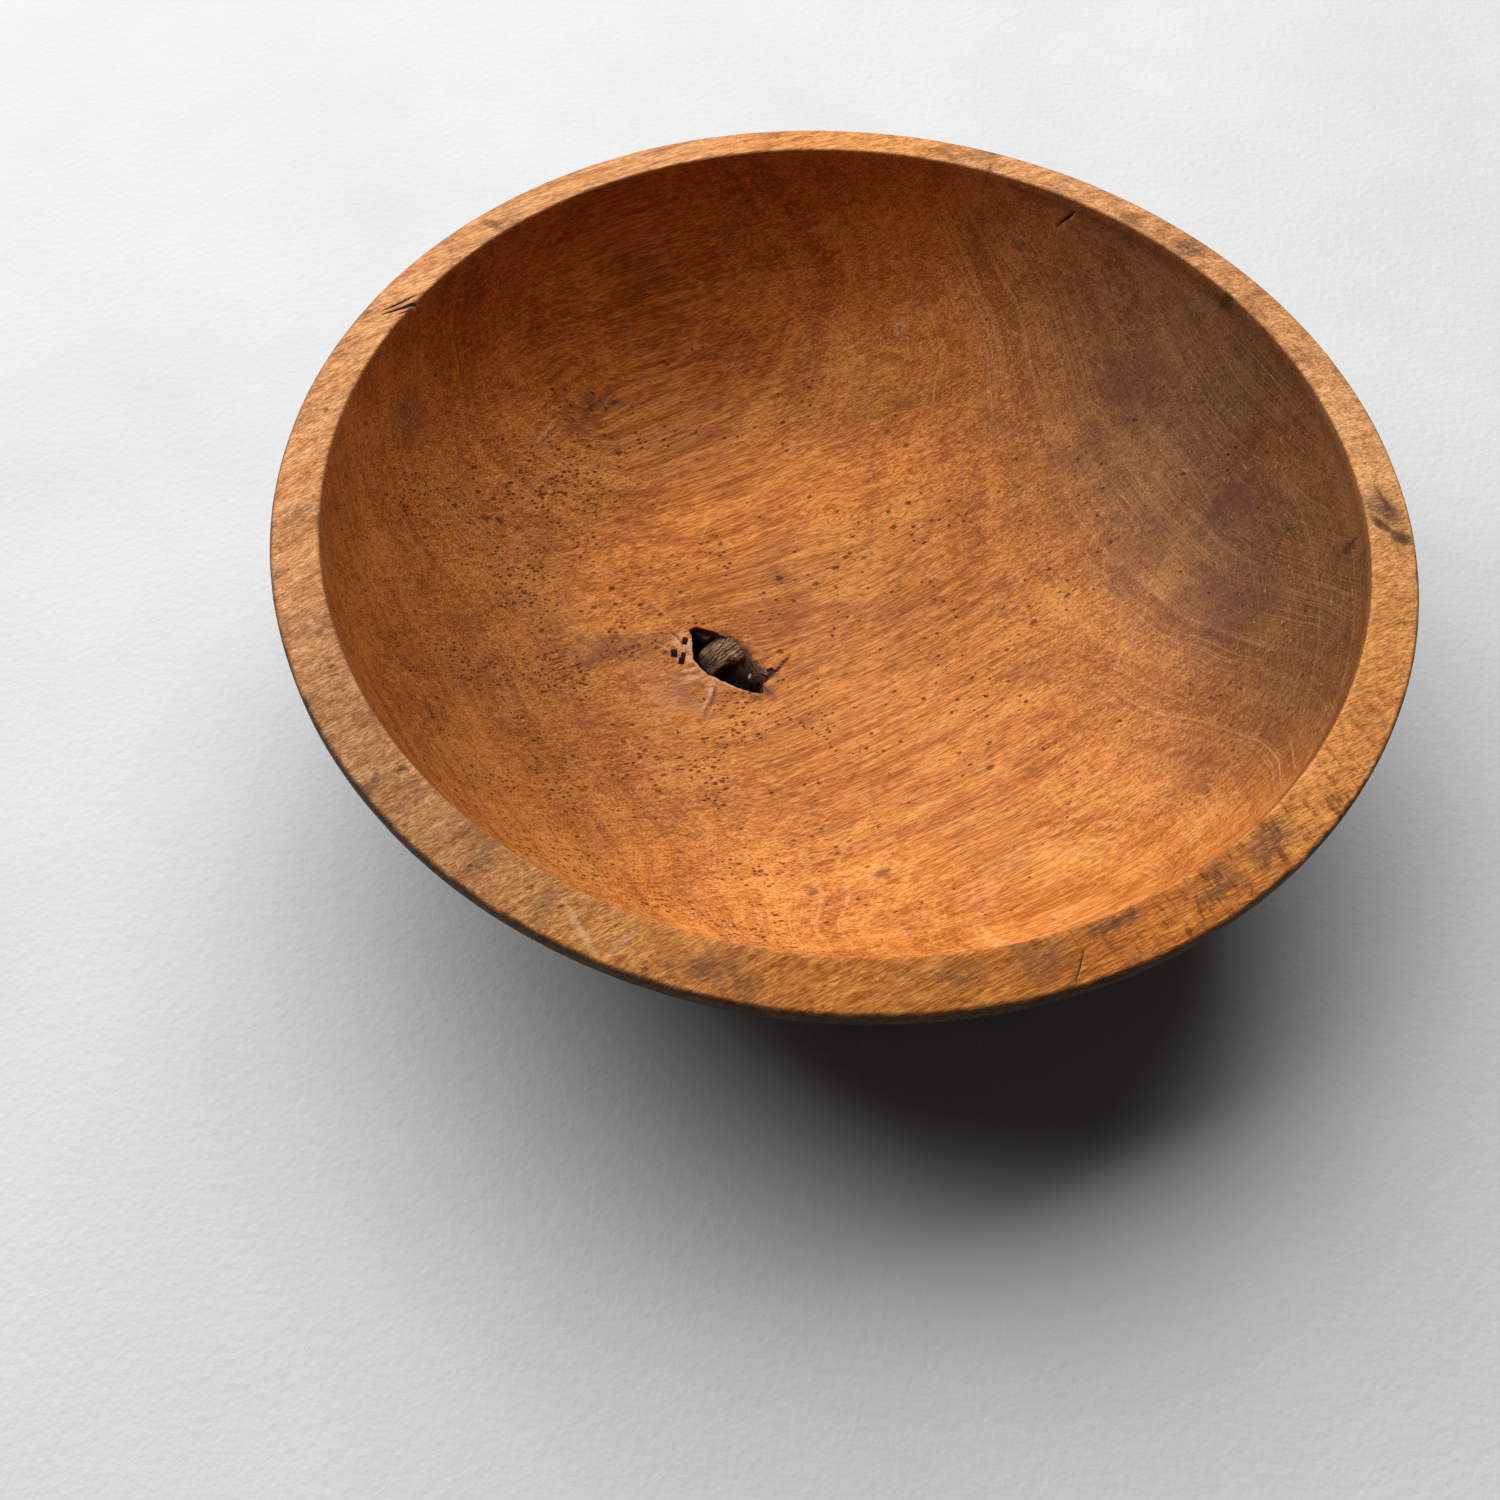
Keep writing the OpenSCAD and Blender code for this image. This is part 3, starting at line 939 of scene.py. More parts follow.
    def marked(self, g: Graph, place: Socket, colour: Socket) -> Socket:
        """The colour with the placed stains and scrapes over it.

        Args:
            g: the material's graph.
            place: the place on the bowl.
            colour: the colour under them.

        Returns:
            The marked colour.
        """
        moved = {broad: self.ragged(g, place, scale, reach) for broad, scale, reach in
                 ((False, 520.0, 2.2 * MM), (True, 75.0, 22.0 * MM))}
        straight = g.turned(place, GRAIN_TURN)
        hatched = g.step(g.long(straight, (260.0, 1300.0, 1300.0), 3.0, 0.7), 0.36, 0.60, 0.15, 1.15)
        for mark in self.marks:
            spot = (mark.x * MM, mark.y * MM, 0.0)
            local = g.turned(g.vector("SUBTRACT", moved[mark.broad], spot), math.radians(mark.turn))
            flat = g.vector("MULTIPLY", local, (1.0 / (mark.half_l * MM), 1.0 / (mark.half_w * MM), 0.0))
            cover = g.step(g.vector("LENGTH", flat), 0.25, 1.25, mark.strength, 0.0)
            if mark.kind in (GREY, DUSTY):
                cover = g.times(cover, hatched)
            colour = g.mix(cover, colour, mark.kind.value)
        return colour

    def ragged(self, g: Graph, place: Socket, scale: float, reach: float) -> Socket:
        """The place shifted about, which makes a mark's edge ragged.

        Args:
            g: the material's graph.
            place: the place on the bowl.
            scale: how fine the raggedness is.
            reach: how far it shifts.

        Returns:
            The shifted place.
        """
        wild = g.noise(g.vector("SCALE", place, scale=scale), 3.0, 0.65, colour=True)
        shift = g.vector("SCALE", g.vector("SUBTRACT", wild, (0.5, 0.5, 0.5)), scale=reach * 2)
        return g.vector("ADD", place, shift)


@dataclass(frozen=True)
class CleftWood(Finish):
    """Dark bare wood inside splits and pits."""

    name: str = "cleft_wood"

    def paint(self, g: Graph) -> None:
        """Adds the finish's nodes.

        Args:
            g: the material's graph.
        """
        place = g.place()
        streak = g.long(g.turned(place, GRAIN_TURN), (200.0, 2000.0, 2000.0), 3.0, 0.7)
        colour = g.ramp(streak, [(0.3, (0.020, 0.010, 0.007)), (0.7, (0.090, 0.042, 0.022))])
        self.close(g, colour, 0.8, streak, 0.1 * MM, 0.3)


@dataclass(frozen=True)
class BranchWood(Finish):
    """Broken end grain of the dead branch: brown, split and dusty, with painted shade on its front-left half,
    along its left edge and low down.
    """

    name: str = "knot_wood"
    hatch_turn: float = math.radians(49)
    middle: tuple[float, float] = (-0.0465, -0.0130)
    back: Triple = (0.050, 0.030, 0.020)
    shaded: Triple = (0.030, 0.018, 0.012)

    def paint(self, g: Graph) -> None:
        """Adds the finish's nodes.

        Args:
            g: the material's graph.
        """
        place = g.place()
        local = g.turned(place, self.hatch_turn)
        hatch = g.long(local, (160.0, 1500.0, 300.0), 3.0, 0.65)
        mottle = g.even(place, 260.0, 3.0, 0.6)
        tone = g.plus(g.times(hatch, 0.55), g.times(mottle, 0.45))
        colour = g.ramp(g.step(tone, 0.36, 0.64), [
            (0.0, (0.050, 0.026, 0.015)),
            (0.5, (0.245, 0.140, 0.078)),
            (1.0, (0.470, 0.300, 0.180)),
        ])
        # Painted shade darkens the core's front-left half, which slopes away from the light.
        from_middle = g.vector("SUBTRACT", place, (*self.middle, 0.0))
        upward, leftward, _ = g.separate(g.turned(from_middle, self.hatch_turn))
        back = g.step(g.plus(upward, g.times(mottle, 6 * MM)), -1 * MM, 5 * MM, 0.75, 0.0)
        colour = g.mix(back, colour, self.back)
        # Painted shade darkens the core low down in the hole and along its left edge.
        _, _, z = g.separate(place)
        colour = g.mix(g.step(z, 16 * MM, 20.5 * MM, 0.9, 0.0), colour, self.shaded)
        rough_edge = g.minus(leftward, g.times(mottle, 3 * MM))
        colour = g.mix(g.step(rough_edge, -7.0 * MM, -2.8 * MM, 0.85, 0.0), colour, self.shaded)
        self.close(g, colour, 0.9, tone, 0.5 * MM, 0.08)


@dataclass(frozen=True)
class Bark(Finish):
    """Old bark round the dead branch: near black, rough, brown where it is rubbed high up, with painted shade
    keeping it near black lower down in the hole.
    """

    name: str = "knot_bark"
    fleck_at: tuple[float, float] = (-0.0350, -0.0180)
    fleck: Triple = (0.62, 0.52, 0.44)
    rubbed: Triple = (0.140, 0.068, 0.042)

    def paint(self, g: Graph) -> None:
        """Adds the finish's nodes.

        Args:
            g: the material's graph.
        """
        place = g.place()
        x, y, z = g.separate(place)
        lumps = g.even(place, 420.0, 4.0, 0.65)
        # Painted shade: the bark turns brown only high up and stays near black lower down in the hole.
        high = g.step(z, 15.5 * MM, 22 * MM)
        rubbed = g.times(high, g.step(lumps, 0.30, 0.60))
        dark = g.ramp(lumps, [(0.3, (0.004, 0.003, 0.003)), (0.7, (0.020, 0.013, 0.010))])
        colour = g.mix(g.times(rubbed, 0.62), dark, self.rubbed)
        fleck = g.vector("DISTANCE", g.combine(x, y, 0.0), (*self.fleck_at, 0.0))
        colour = g.mix(g.step(g.plus(fleck, g.times(lumps, MM)), 1.0 * MM, 1.4 * MM, 0.9, 0.0),
                       colour, self.fleck)
        self.close(g, colour, 0.95, lumps, 0.5 * MM, 0.05)


@dataclass(frozen=True)
class PaleGround(Finish):
    """Plain pale grey floor under the bowl."""

    name: str = "pale_ground"

    def paint(self, g: Graph) -> None:
        """Adds the finish's nodes.

        Args:
            g: the material's graph.
        """
        place = g.place()
        cloud = g.even(place, 7.0, 4.0, 0.6)
        colour = g.ramp(cloud, [(0.3, (0.75, 0.755, 0.76)), (0.7, (0.81, 0.815, 0.82))])
        self.close(g, colour, 0.6, g.even(place, 240.0, 3.0, 0.6), 0.4 * MM, 0.3)


@dataclass
class SectionRow:
    """One ring of the bowl's surface, from the knot hole's bottom round the section to the foot's middle."""

    r: float
    z: float
    blend: float = 0.0
    reach: float = 1.0
    depth: float = 0.0
    on_floor: float = 0.0
    rim: float = 0.0
    outside: float = 0.0


ROW_NUMBERS = ("blend", "reach", "depth", "on_floor", "rim", "outside")
TREE_INPUTS = (
    ("Geometry", "Geometry"),
    ("Hole Outline", "Object"),
    ("Columns", "Int"),
    ("First Angle", "Float"),
    ("Top Height", "Float"),
    ("Half Height", "Float"),
    ("Half Width", "Float"),
    ("Squareness", "Float"),
    ("Wood", "Material"),
)


def rounded(corners: np.ndarray, steps: int, wave: float, seed: float = 0.0) -> np.ndarray:
    """Closed curve through an outline's corners, with small waves.

    Args:
        corners: the corners, one a row.
        steps: points for each side.
        wave: how far the waves reach.
        seed: moves the waves.

    Returns:
        The curve's points, the first at the first corner.
    """
    count = len(corners)
    points = []
    for i in range(count):
        a, b, c, d = (corners[(i + k) % count] for k in (-1, 0, 1, 2))
        for t in np.arange(steps) / steps:
            points.append(0.5 * (2 * b + (c - a) * t + (2 * a - 5 * b + 4 * c - d) * t * t
                                 + (3 * b - a - 3 * c + d) * t ** 3))
    points = np.array(points)
    along = np.roll(points, -1, axis=0) - np.roll(points, 1, axis=0)
    along /= np.linalg.norm(along, axis=1)[:, None]
    shift = np.array([noise.noise(Vector((p[0] * 420, p[1] * 420, seed))) for p in points])
    return points + np.column_stack([along[:, 1], -along[:, 0]]) * (shift * wave)[:, None]


def spaced(corners: np.ndarray, count: int, closed: bool) -> np.ndarray:
    """Points evenly along a line through corners.

    Args:
        corners: the corners, one a row.
        count: how many points there are.
        closed: goes back to the first corner, which then isn't repeated.

    Returns:
        The points, one a row.
    """
    if closed:
        corners = np.vstack([corners, corners[:1]])
    lengths = np.concatenate([[0], np.cumsum(np.linalg.norm(np.diff(corners, axis=0), axis=1))])
    marks = np.linspace(0, lengths[-1], count, endpoint=not closed)
    return np.column_stack([np.interp(marks, lengths, column) for column in corners.T])


def line_distance(points: np.ndarray, line: np.ndarray) -> tuple[np.ndarray, np.ndarray]:
    """Distance of points from an open line, and how far along it the nearest place is.

    Args:
        points: places, one a row.
        line: the line's corners, one a row.

    Returns:
        The distances, and the shares of the line's length from 0 to 1.
    """
    best = np.full(len(points), np.inf)
    share = np.zeros(len(points))
    lengths = np.linalg.norm(np.diff(line, axis=0), axis=1)
    start = 0.0
    for a, b, length in zip(line[:-1], line[1:], lengths):
        t = np.clip(((points - a) @ (b - a)) / length ** 2, 0.0, 1.0)
        gap = np.linalg.norm(points - a - t[:, None] * (b - a), axis=1)
        closer = gap < best
        best[closer] = gap[closer]
        share[closer] = (start + t[closer] * length) / lengths.sum()
        start += length
    return best, share


def polygon_distance(points: np.ndarray, outline: np.ndarray) -> np.ndarray:
    """Distance of points from a closed outline, negative inside it.

    Args:
        points: places, one a row.
        outline: the outline's corners, one a row.

    Returns:
        The distances.
    """
    best = np.full(len(points), np.inf)
    inside = np.zeros(len(points), bool)
    for a, b in zip(outline, np.roll(outline, -1, axis=0)):
        edge = b - a
        share = np.clip(((points - a) @ edge) / (edge @ edge), 0.0, 1.0)
        best = np.minimum(best, np.linalg.norm(points - a - share[:, None] * edge, axis=1))
        crosses = (a[1] > points[:, 1]) != (b[1] > points[:, 1])
        level = edge[1] if abs(edge[1]) > 1e-12 else 1e-12
        inside ^= crosses & (points[:, 0] < a[0] + (points[:, 1] - a[1]) * edge[0] / level)
    return np.where(inside, -best, best)


def soft_step(value: np.ndarray, low: float, high: float) -> np.ndarray:
    """Smooth step from 0 to 1 while the value goes from low to high."""
    t = np.clip((value - low) / (high - low), 0.0, 1.0)
    return t * t * (3 - 2 * t)


@dataclass(frozen=True)
class Crease:
    """A shallow fold or crack in the wood by the knot, along a line in the knot's frame, in millimetres."""

    line: tuple[tuple[float, float], ...]
    half_w: float
    depth: float


CREASES = (
    Crease(((19.8, 4.3), (18.6, 9.2), (18.6, 14.1), (17.5, 20.3), (17.1, 25.5)), 0.55, 1.5),
    Crease(((-27.0, -7.2), (-24.0, -6.2), (-20.2, -7.3), (-17.5, -9.4)), 0.45, 0.8),
    Crease(((-13.8, -24.3), (-8.0, -20.7), (-4.1, -15.2), (0.6, -13.1)), 0.60, 0.45),
    Crease(((-12.0, -26.0), (-6.4, -22.6), (-1.8, -17.0), (2.6, -13.4)), 0.50, -0.35),
    Crease(((-27.6, -16.8), (-22.9, -15.3), (-18.1, -13.8)), 0.50, -0.40),
    Crease(((-27.0, -20.0), (-22.0, -18.0), (-16.5, -16.6)), 0.55, 0.35),
    Crease(((7.8, -14.1), (11.5, -19.2), (15.0, -27.8), (17.8, -33.1)), 0.80, 0.50),
    Crease(((6.2, -13.4), (8.8, -18.6), (11.6, -25.8), (13.0, -30.0)), 0.90, -0.40),
    Crease(((-21.7, -24.5), (-19.8, -20.2), (-16.2, -17.6)), 0.60, 0.35),
    Crease(((2.8, -14.6), (3.9, -19.1), (4.1, -23.5), (4.6, -27.2)), 0.60, 0.30),
    Crease(((13.0, -9.0), (15.5, -12.0), (17.0, -16.0)), 0.60, 0.25),
    Crease(((-8.0, -12.6), (-3.0, -12.2), (2.0, -11.4), (6.5, -10.2)), 0.45, 0.30),
)


@dataclass(frozen=True)
class Swelling:
    """A soft rise of the wood by the knot, in the knot's frame, in millimetres."""

    u: float
    v: float
    radius: float
    height: float


SWELLINGS = (Swelling(27.0, 8.0, 6.5, 0.8), Swelling(-2.0, -19.0, 6.0, 0.5))


@dataclass(frozen=True)
class Pit:
    """A small sharp-edged hole in the floor, placed from above, in millimetres."""

    x: float
    y: float
    half_l: float
    half_w: float
    turn: float
    depth: float


@dataclass(frozen=True)
class Slit:
    """A narrow split along a line on the bowl, in millimetres, widest at a share of its length."""

    line: tuple[tuple[float, float, float], ...]
    width: float
    depth: float
    widest: float = 0.5
    sideways: bool = False


KNOT_PITS = (
    Pit(-20.0, -5.6, 2.3, 1.4, 122, 4.0),
    Pit(-18.2, -14.2, 2.3, 1.7, 136, 4.0),
    Pit(-14.9, -11.5, 1.5, 1.2, 120, 4.0),
    Pit(-13.2, -14.5, 2.5, 1.5, 124, 4.0),
    Pit(16.6, 11.4, 1.8, 1.1, 62, 4.0),
)
PINHOLES = (
    (38.1, 60.1), (56.4, 21.6), (89.9, 22.4), (87.2, 68.8), (99.9, 50.8), (69.1, -26.6), (-4.5, -19.7),
    (-48.6, -73.3), (-54.3, -36.0),
)
SLITS = (
    Slit(((-202.3, 86.9, 126), (-198, 89, 126.2), (-193, 92.3, 126.5), (-187.6, 96.2, 126.8)), 1.45, 2.6),
    Slit(((-201.6, 84.2, 126), (-196.5, 86.4, 126.2), (-191.5, 88.3, 126.6), (-186.6, 91.4, 126.8)),
         2.10, 3.4, 0.75),
    Slit(((-193.4, 83.6, 126.4), (-189.6, 86.2, 126.8)), 0.45, 0.9),
    Slit(((80.9, -212.0, 123.6), (84.1, -199.8, 125.6)), 0.60, 0.9),
    Slit(((95.2, 180.4, 111), (97, 181.2, 114.5), (100.2, 181.4, 118.5), (103.4, 181.3, 122.5)),
         0.55, 0.5, 0.6, True),
)
PINHOLE = Pit(0, 0, 0.55, 0.5, 0, 1.8)
SCORE_SIZE = 0.45
SCORES = (
    (-124.8, -28.3, -114.4, -20.3), (-123.3, -31.4, -114.0, -24.2), (-121.9, -32.9, -116.0, -28.1),
    (-122.3, -37.6, -114.2, -27.9), (-118.7, -34.7, -107.3, -26.7), (-120.0, -41.7, -111.2, -33.5),
    (-124.1, -49.9, -118.3, -45.3), (-110.0, -39.0, -103.4, -38.1),
)


@dataclass
class TurnedBowl:
    """The bowl's turned body with its hollow, rim, outer wall, foot and knot hole."""

    outer_r: float
    height: float
    floor_t: float = 22.0 * MM
    squareness: float = 2.5
    hollow_rise: float = 36.0 * MM
    wall_lean: float = math.radians(30)
    foot_r: float = 97.0 * MM
    foot_h: float = 2.5 * MM
    foot_bevel: float = 1.0 * MM
    foot_lean: float = math.radians(63)
    rim_w: float = 20.2 * MM
    rim_fall: float = 4.4 * MM
    rim_face_h: float = 7.0 * MM
    inner_edge_r: float = 1.2 * MM
    outer_edge_r: float = 2.2 * MM
    under_edge_r: float = 3.0 * MM
    knot_at: tuple[float, float] = (-46.0 * MM, -13.9 * MM)
    hole_turn: float = math.radians(-41)
    hole_l: float = 46.0 * MM
    hole_w: float = 22.0 * MM
    hole_depth: float = 12.0 * MM
    hole_shares: tuple[tuple[float, float], ...] = (
        (-0.50, 0.00), (-0.44, -0.06), (-0.36, -0.20), (-0.28, -0.36), (-0.19, -0.47), (-0.04, -0.50),
        (0.09, -0.43), (0.25, -0.33), (0.40, -0.19), (0.50, -0.02), (0.44, 0.14), (0.40, 0.34),
        (0.28, 0.32), (0.16, 0.40), (0.04, 0.46), (-0.10, 0.50), (-0.22, 0.46), (-0.33, 0.36),
        (-0.47, 0.20),
    )
    hole_wave: float = 0.5 * MM
    wear_depth: float = 0.22 * MM
    relief_reach: float = 62 * MM
    slit_rings: int = 15
    slit_over: float = 1.0 * MM
    pit_corners: int = 10
    columns: int = 448
    bottom_rows: int = 6
    hole_rows: int = 8
    floor_rows: int = 64
    hollow_rows: int = 40
    rim_rows: int = 10
    edge_rows: int = 5
    wall_rows: int = 30
    base_rows: int = 5
    floor_r: float = 120.0 * MM

    @property
    def half_h(self) -> float:
        """Half height of the hollow's section."""
        return self.height - self.floor_t + self.hollow_rise

    @property
    def rim_slope(self) -> float:
        """Slope of the rim's top."""
        return math.atan2(self.rim_fall, self.rim_w)

    @property
    def hollow_lean(self) -> float:
        """Lean of the hollow's wall where it meets the rim, from upright."""
        rise = self.hollow_rise / self.half_h
        widest = (1 - rise ** self.squareness) ** (1 / self.squareness)
        inner_r = self.outer_r - self.rim_w
        return math.atan(inner_r / widest / self.half_h * (rise / widest) ** (self.squareness - 1))

    @property
    def inner_round(self) -> tuple[float, float]:
        """Centre of the rim's rounded inner edge."""
        r = self.outer_r - self.rim_w + self.inner_edge_r * math.cos(self.hollow_lean)
        return r, self.height - self.inner_edge_r

    @property
    def half_w(self) -> float:
        """Half width of the hollow's section."""
        top_z = self.inner_round[1] + self.inner_edge_r * math.sin(self.hollow_lean)
        share = (self.height + self.hollow_rise - top_z) / self.half_h
        return (self.outer_r - self.rim_w) / (1 - share ** self.squareness) ** (1 / self.squareness)

    def hollow_z(self, r: float) -> float:
        """Height of the hollow's surface at a distance from the axis."""
        share = max(0.0, 1 - (r / self.half_w) ** self.squareness)
        return self.height + self.hollow_rise - self.half_h * share ** (1 / self.squareness)

    def arc(self, centre: tuple[float, float], radius: float, start: float, end: float,
            **marks: float) -> list[SectionRow]:
        """Rows round a worn edge.

        Args:
            centre: the round's centre, from the axis and up.
            radius: its radius.
            start: angle of the first row.
            end: angle of the last row.
            marks: what the rows carry.

        Returns:
            The rows.
        """
        rows = []
        for i in range(self.edge_rows + 1):
            angle = start + (end - start) * i / self.edge_rows
            r = centre[0] + radius * math.cos(angle)
            rows.append(SectionRow(r, centre[1] + radius * math.sin(angle), **marks))
        return rows

    def rows(self) -> list[SectionRow]:
        """All rows of the bowl's surface, in order.

        Returns:
            The rows, from the middle of the hole's bottom to the middle of the foot.
        """
        hole_z = self.floor_t - self.hole_depth
        rows = [SectionRow(0, hole_z, 1, i / self.bottom_rows) for i in range(self.bottom_rows)]
        rows += [SectionRow(0, hole_z, 1, 1.0)]
        for i in range(1, self.hole_rows + 1):
            share = (1 - i / self.hole_rows) ** 1.5
            rows.append(SectionRow(0, 0, 1, 1.0, (self.hole_depth + MM) * share, 1))
        for i in range(1, self.floor_rows + 1):
            share = 1 - (i / self.floor_rows) ** 1.45
            rows.append(SectionRow(self.floor_r, 0, share, 1.0, 0, 1))
        top_r = self.outer_r - self.rim_w
        for i in range(1, self.hollow_rows):
            share = 1 - (1 - i / self.hollow_rows) ** 1.25
            r = self.floor_r + (top_r - self.floor_r) * share
            rows.append(SectionRow(r, self.hollow_z(r), rim=max(0.0, (i - self.hollow_rows + 3) / 8)))
        slope = self.rim_slope
        outer_c_r = self.outer_r - self.outer_edge_r
        fall = (outer_c_r - self.inner_round[0]) * math.tan(slope)
        rise = (self.inner_edge_r - self.outer_edge_r) / math.cos(slope)
        outer_round = (outer_c_r, self.inner_round[1] - fall + rise)
        under_z = self.height - self.rim_fall - self.rim_face_h + self.under_edge_r * math.sin(self.wall_lean)
        under_round = (self.outer_r - self.under_edge_r, under_z)
        upright = math.pi / 2 - slope
        inner = self.arc(self.inner_round, self.inner_edge_r, math.pi - self.hollow_lean, upright, rim=1)
        outer = self.arc(outer_round, self.outer_edge_r, upright, 0, rim=1)
        under = self.arc(under_round, self.under_edge_r, 0, -self.wall_lean, rim=0.0, outside=1.0)
        inner[0].rim = 0.5
        rows += inner
        for i in range(1, self.rim_rows):
            share = i / self.rim_rows
            r = inner[-1].r + (outer[0].r - inner[-1].r) * share
            rows.append(SectionRow(r, inner[-1].z + (outer[0].z - inner[-1].z) * share, rim=1))
        outer[-1].outside = 0.8
        rows += outer
        rows += under
        rows += self.wall(under[-1])
        rows.append(SectionRow(self.foot_r, self.foot_bevel, outside=1))
        for i in range(self.base_rows + 1):
            rows.append(SectionRow((self.foot_r - self.foot_bevel) * (1 - i / self.base_rows), 0, outside=1))
        return rows

    def wall(self, top: SectionRow) -> list[SectionRow]:
        """Rows of the outer wall, a curve drawn to the corner of its two leans.

        Args:
            top: the row just over it.

        Returns:
            The wall's rows, down to the foot's edge.
        """
        run = (top.r - self.foot_r, top.z - self.foot_h)
        reach = run[0] * math.cos(self.wall_lean) - run[1] * math.sin(self.wall_lean)
        reach /= math.sin(self.foot_lean - self.wall_lean)
        corner_r = self.foot_r + reach * math.sin(self.foot_lean)
        corner_z = self.foot_h + reach * math.cos(self.foot_lean)
        rows = []
        for i in range(1, self.wall_rows + 1):
            t = i / self.wall_rows
            r = (1 - t) ** 2 * top.r + 2 * t * (1 - t) * corner_r + t * t * self.foot_r
            z = (1 - t) ** 2 * top.z + 2 * t * (1 - t) * corner_z + t * t * self.foot_h
            rows.append(SectionRow(r, z, outside=1))
        return rows

    def hole_outline(self) -> list[tuple[float, float]]:
        """Outline of the knot hole on the bowl, in metres, starting at its left end."""
        return [self.from_knot(u, v) for u, v in self.hole_curve()]

    def hole_curve(self) -> np.ndarray:
        """The hole's ragged edge in the knot's frame."""
        corners = np.array(self.hole_shares) * (self.hole_l, self.hole_w)
        return rounded(corners, CURVE_STEPS, self.hole_wave)

    def to_knot(self, points: np.ndarray) -> np.ndarray:
        """Places in the knot's frame.

        Args:
            points: places on the bowl, one a row.

        Returns:
            The places along and across the knot.
        """
        c, s = math.cos(self.hole_turn), math.sin(self.hole_turn)
        x, y = points[:, 0] - self.knot_at[0], points[:, 1] - self.knot_at[1]
        return np.column_stack([c * x + s * y, c * y - s * x])

    def from_knot(self, u: Numbers, v: Numbers) -> tuple[Numbers, Numbers]:
        """Place seen from above of a point, or of many points, in the knot's frame."""
        c, s = math.cos(self.hole_turn), math.sin(self.hole_turn)
        return self.knot_at[0] + c * u - s * v, self.knot_at[1] + s * u + c * v

    def section_object(self, rows: list[SectionRow]) -> bpy.types.Object:
        """Object that holds the section's rows as points with their marks.

        Args:
            rows: the rows.

        Returns:
            The object, for the tree to work on.
        """
        mesh = bpy.data.meshes.new("bowl_section")
        mesh.from_pydata([(row.r, 0, row.z) for row in rows], [(i, i + 1) for i in range(len(rows) - 1)], [])
        for name in ROW_NUMBERS:
            layer = mesh.attributes.new(name, "FLOAT", "POINT")
            layer.data.foreach_set("value", [getattr(row, name) for row in rows])
        return new_object("bowl_section", mesh)

    def outline_object(self) -> bpy.types.Object:
        """Object that holds the knot hole's closed outline as a curve.

        Returns:
            The curve's object.
        """
        curve = bpy.data.curves.new("hole_outline", "CURVE")
        curve.dimensions = "3D"
        spline = curve.splines.new("POLY")
        points = self.hole_outline()
        spline.points.add(len(points) - 1)
        for point, (x, y) in zip(spline.points, points):
            point.co = (x, y, 0, 1)
        spline.use_cyclic_u = True
        return new_object("hole_outline", curve)

    def tree(self) -> bpy.types.NodeTree:
        """Tree that turns the section's rows round the axis and draws the floor's rows in to the hole.

        Returns:
            The tree, with the bowl's sizes as its inputs.
        """
        tree = bpy.data.node_groups.new("turned_bowl", "GeometryNodeTree")
        tree.is_modifier = True
        for name, kind in TREE_INPUTS:
            tree.interface.new_socket(name, in_out="INPUT", socket_type=f"NodeSocket{kind}")
        tree.interface.new_socket("Geometry", in_out="OUTPUT", socket_type="NodeSocketGeometry")
        g = Graph(tree)
        given = g.add("NodeGroupInput").outputs
        section = given["Geometry"]
        domain = g.add("GeometryNodeAttributeDomainSize", {0: section}, component="MESH")
        count = domain.outputs["Point Count"]
        grid = g.add("GeometryNodeMeshGrid", {
            "Size X": 1.0, "Size Y": 1.0, "Vertices X": g.plus(given["Columns"], 1.0), "Vertices Y": count,
        })
        x, y, _ = g.separate(g.add("GeometryNodeInputPosition").outputs[0])
        column = g.plus(x, 0.5)
        row = g.math("ROUND", g.times(g.plus(y, 0.5), g.minus(count, 1.0)))
        angle = g.plus(g.times(column, math.tau), given["First Angle"])
        position = g.add("GeometryNodeInputPosition").outputs[0]
        r, _, z = g.separate(g.sampled(section, row, position, "FLOAT_VECTOR"))
        values = {name: g.sampled(section, row, g.named(name)) for name in ROW_NUMBERS}
        circle = g.combine(g.times(r, g.math("COSINE", angle)), g.times(r, g.math("SINE", angle)), 0.0)
        outline = g.add("GeometryNodeObjectInfo", {"Object": given["Hole Outline"]},
                        transform_space="RELATIVE")
        sample = g.add("GeometryNodeSampleCurve", {"Curves": outline.outputs["Geometry"], "Factor": column},
                       mode="FACTOR", use_all_curves=False)
        middle = (*self.knot_at, 0.0)
        spoke = g.vector("SUBTRACT", sample.outputs["Position"], middle)
        hole = g.vector("ADD", g.vector("SCALE", spoke, scale=values["reach"]), middle)
        flat = g.add("ShaderNodeMix", {0: values["blend"], 4: circle, 5: hole}, data_type="VECTOR").outputs[1]
        away = g.math("DIVIDE", g.vector("LENGTH", flat), given["Half Width"])
        share = g.math("MAXIMUM", g.minus(1.0, g.math("POWER", away, given["Squareness"])), 0.0)
        power = g.math("DIVIDE", 1.0, given["Squareness"])
        dip = g.times(given["Half Height"], g.math("POWER", share, power))
        floor_z = g.minus(g.minus(given["Top Height"], dip), values["depth"])
        fx, fy, _ = g.separate(flat)
        place = g.combine(fx, fy, g.blend(values["on_floor"], z, floor_z))
        stored = grid.outputs["Mesh"]
        for name in BODY_NUMBERS:
            inputs = {"Geometry": stored, "Name": name, "Value": values[name]}
            node = g.add("GeometryNodeStoreNamedAttribute", inputs, data_type="FLOAT", domain="POINT")
            stored = node.outputs[0]
        moved = g.add("GeometryNodeSetPosition", {"Geometry": stored, "Position": place}).outputs[0]
        merged = {"Geometry": moved, "Distance": MERGE_DISTANCE}
        closed = g.add("GeometryNodeMergeByDistance", merged).outputs[0]
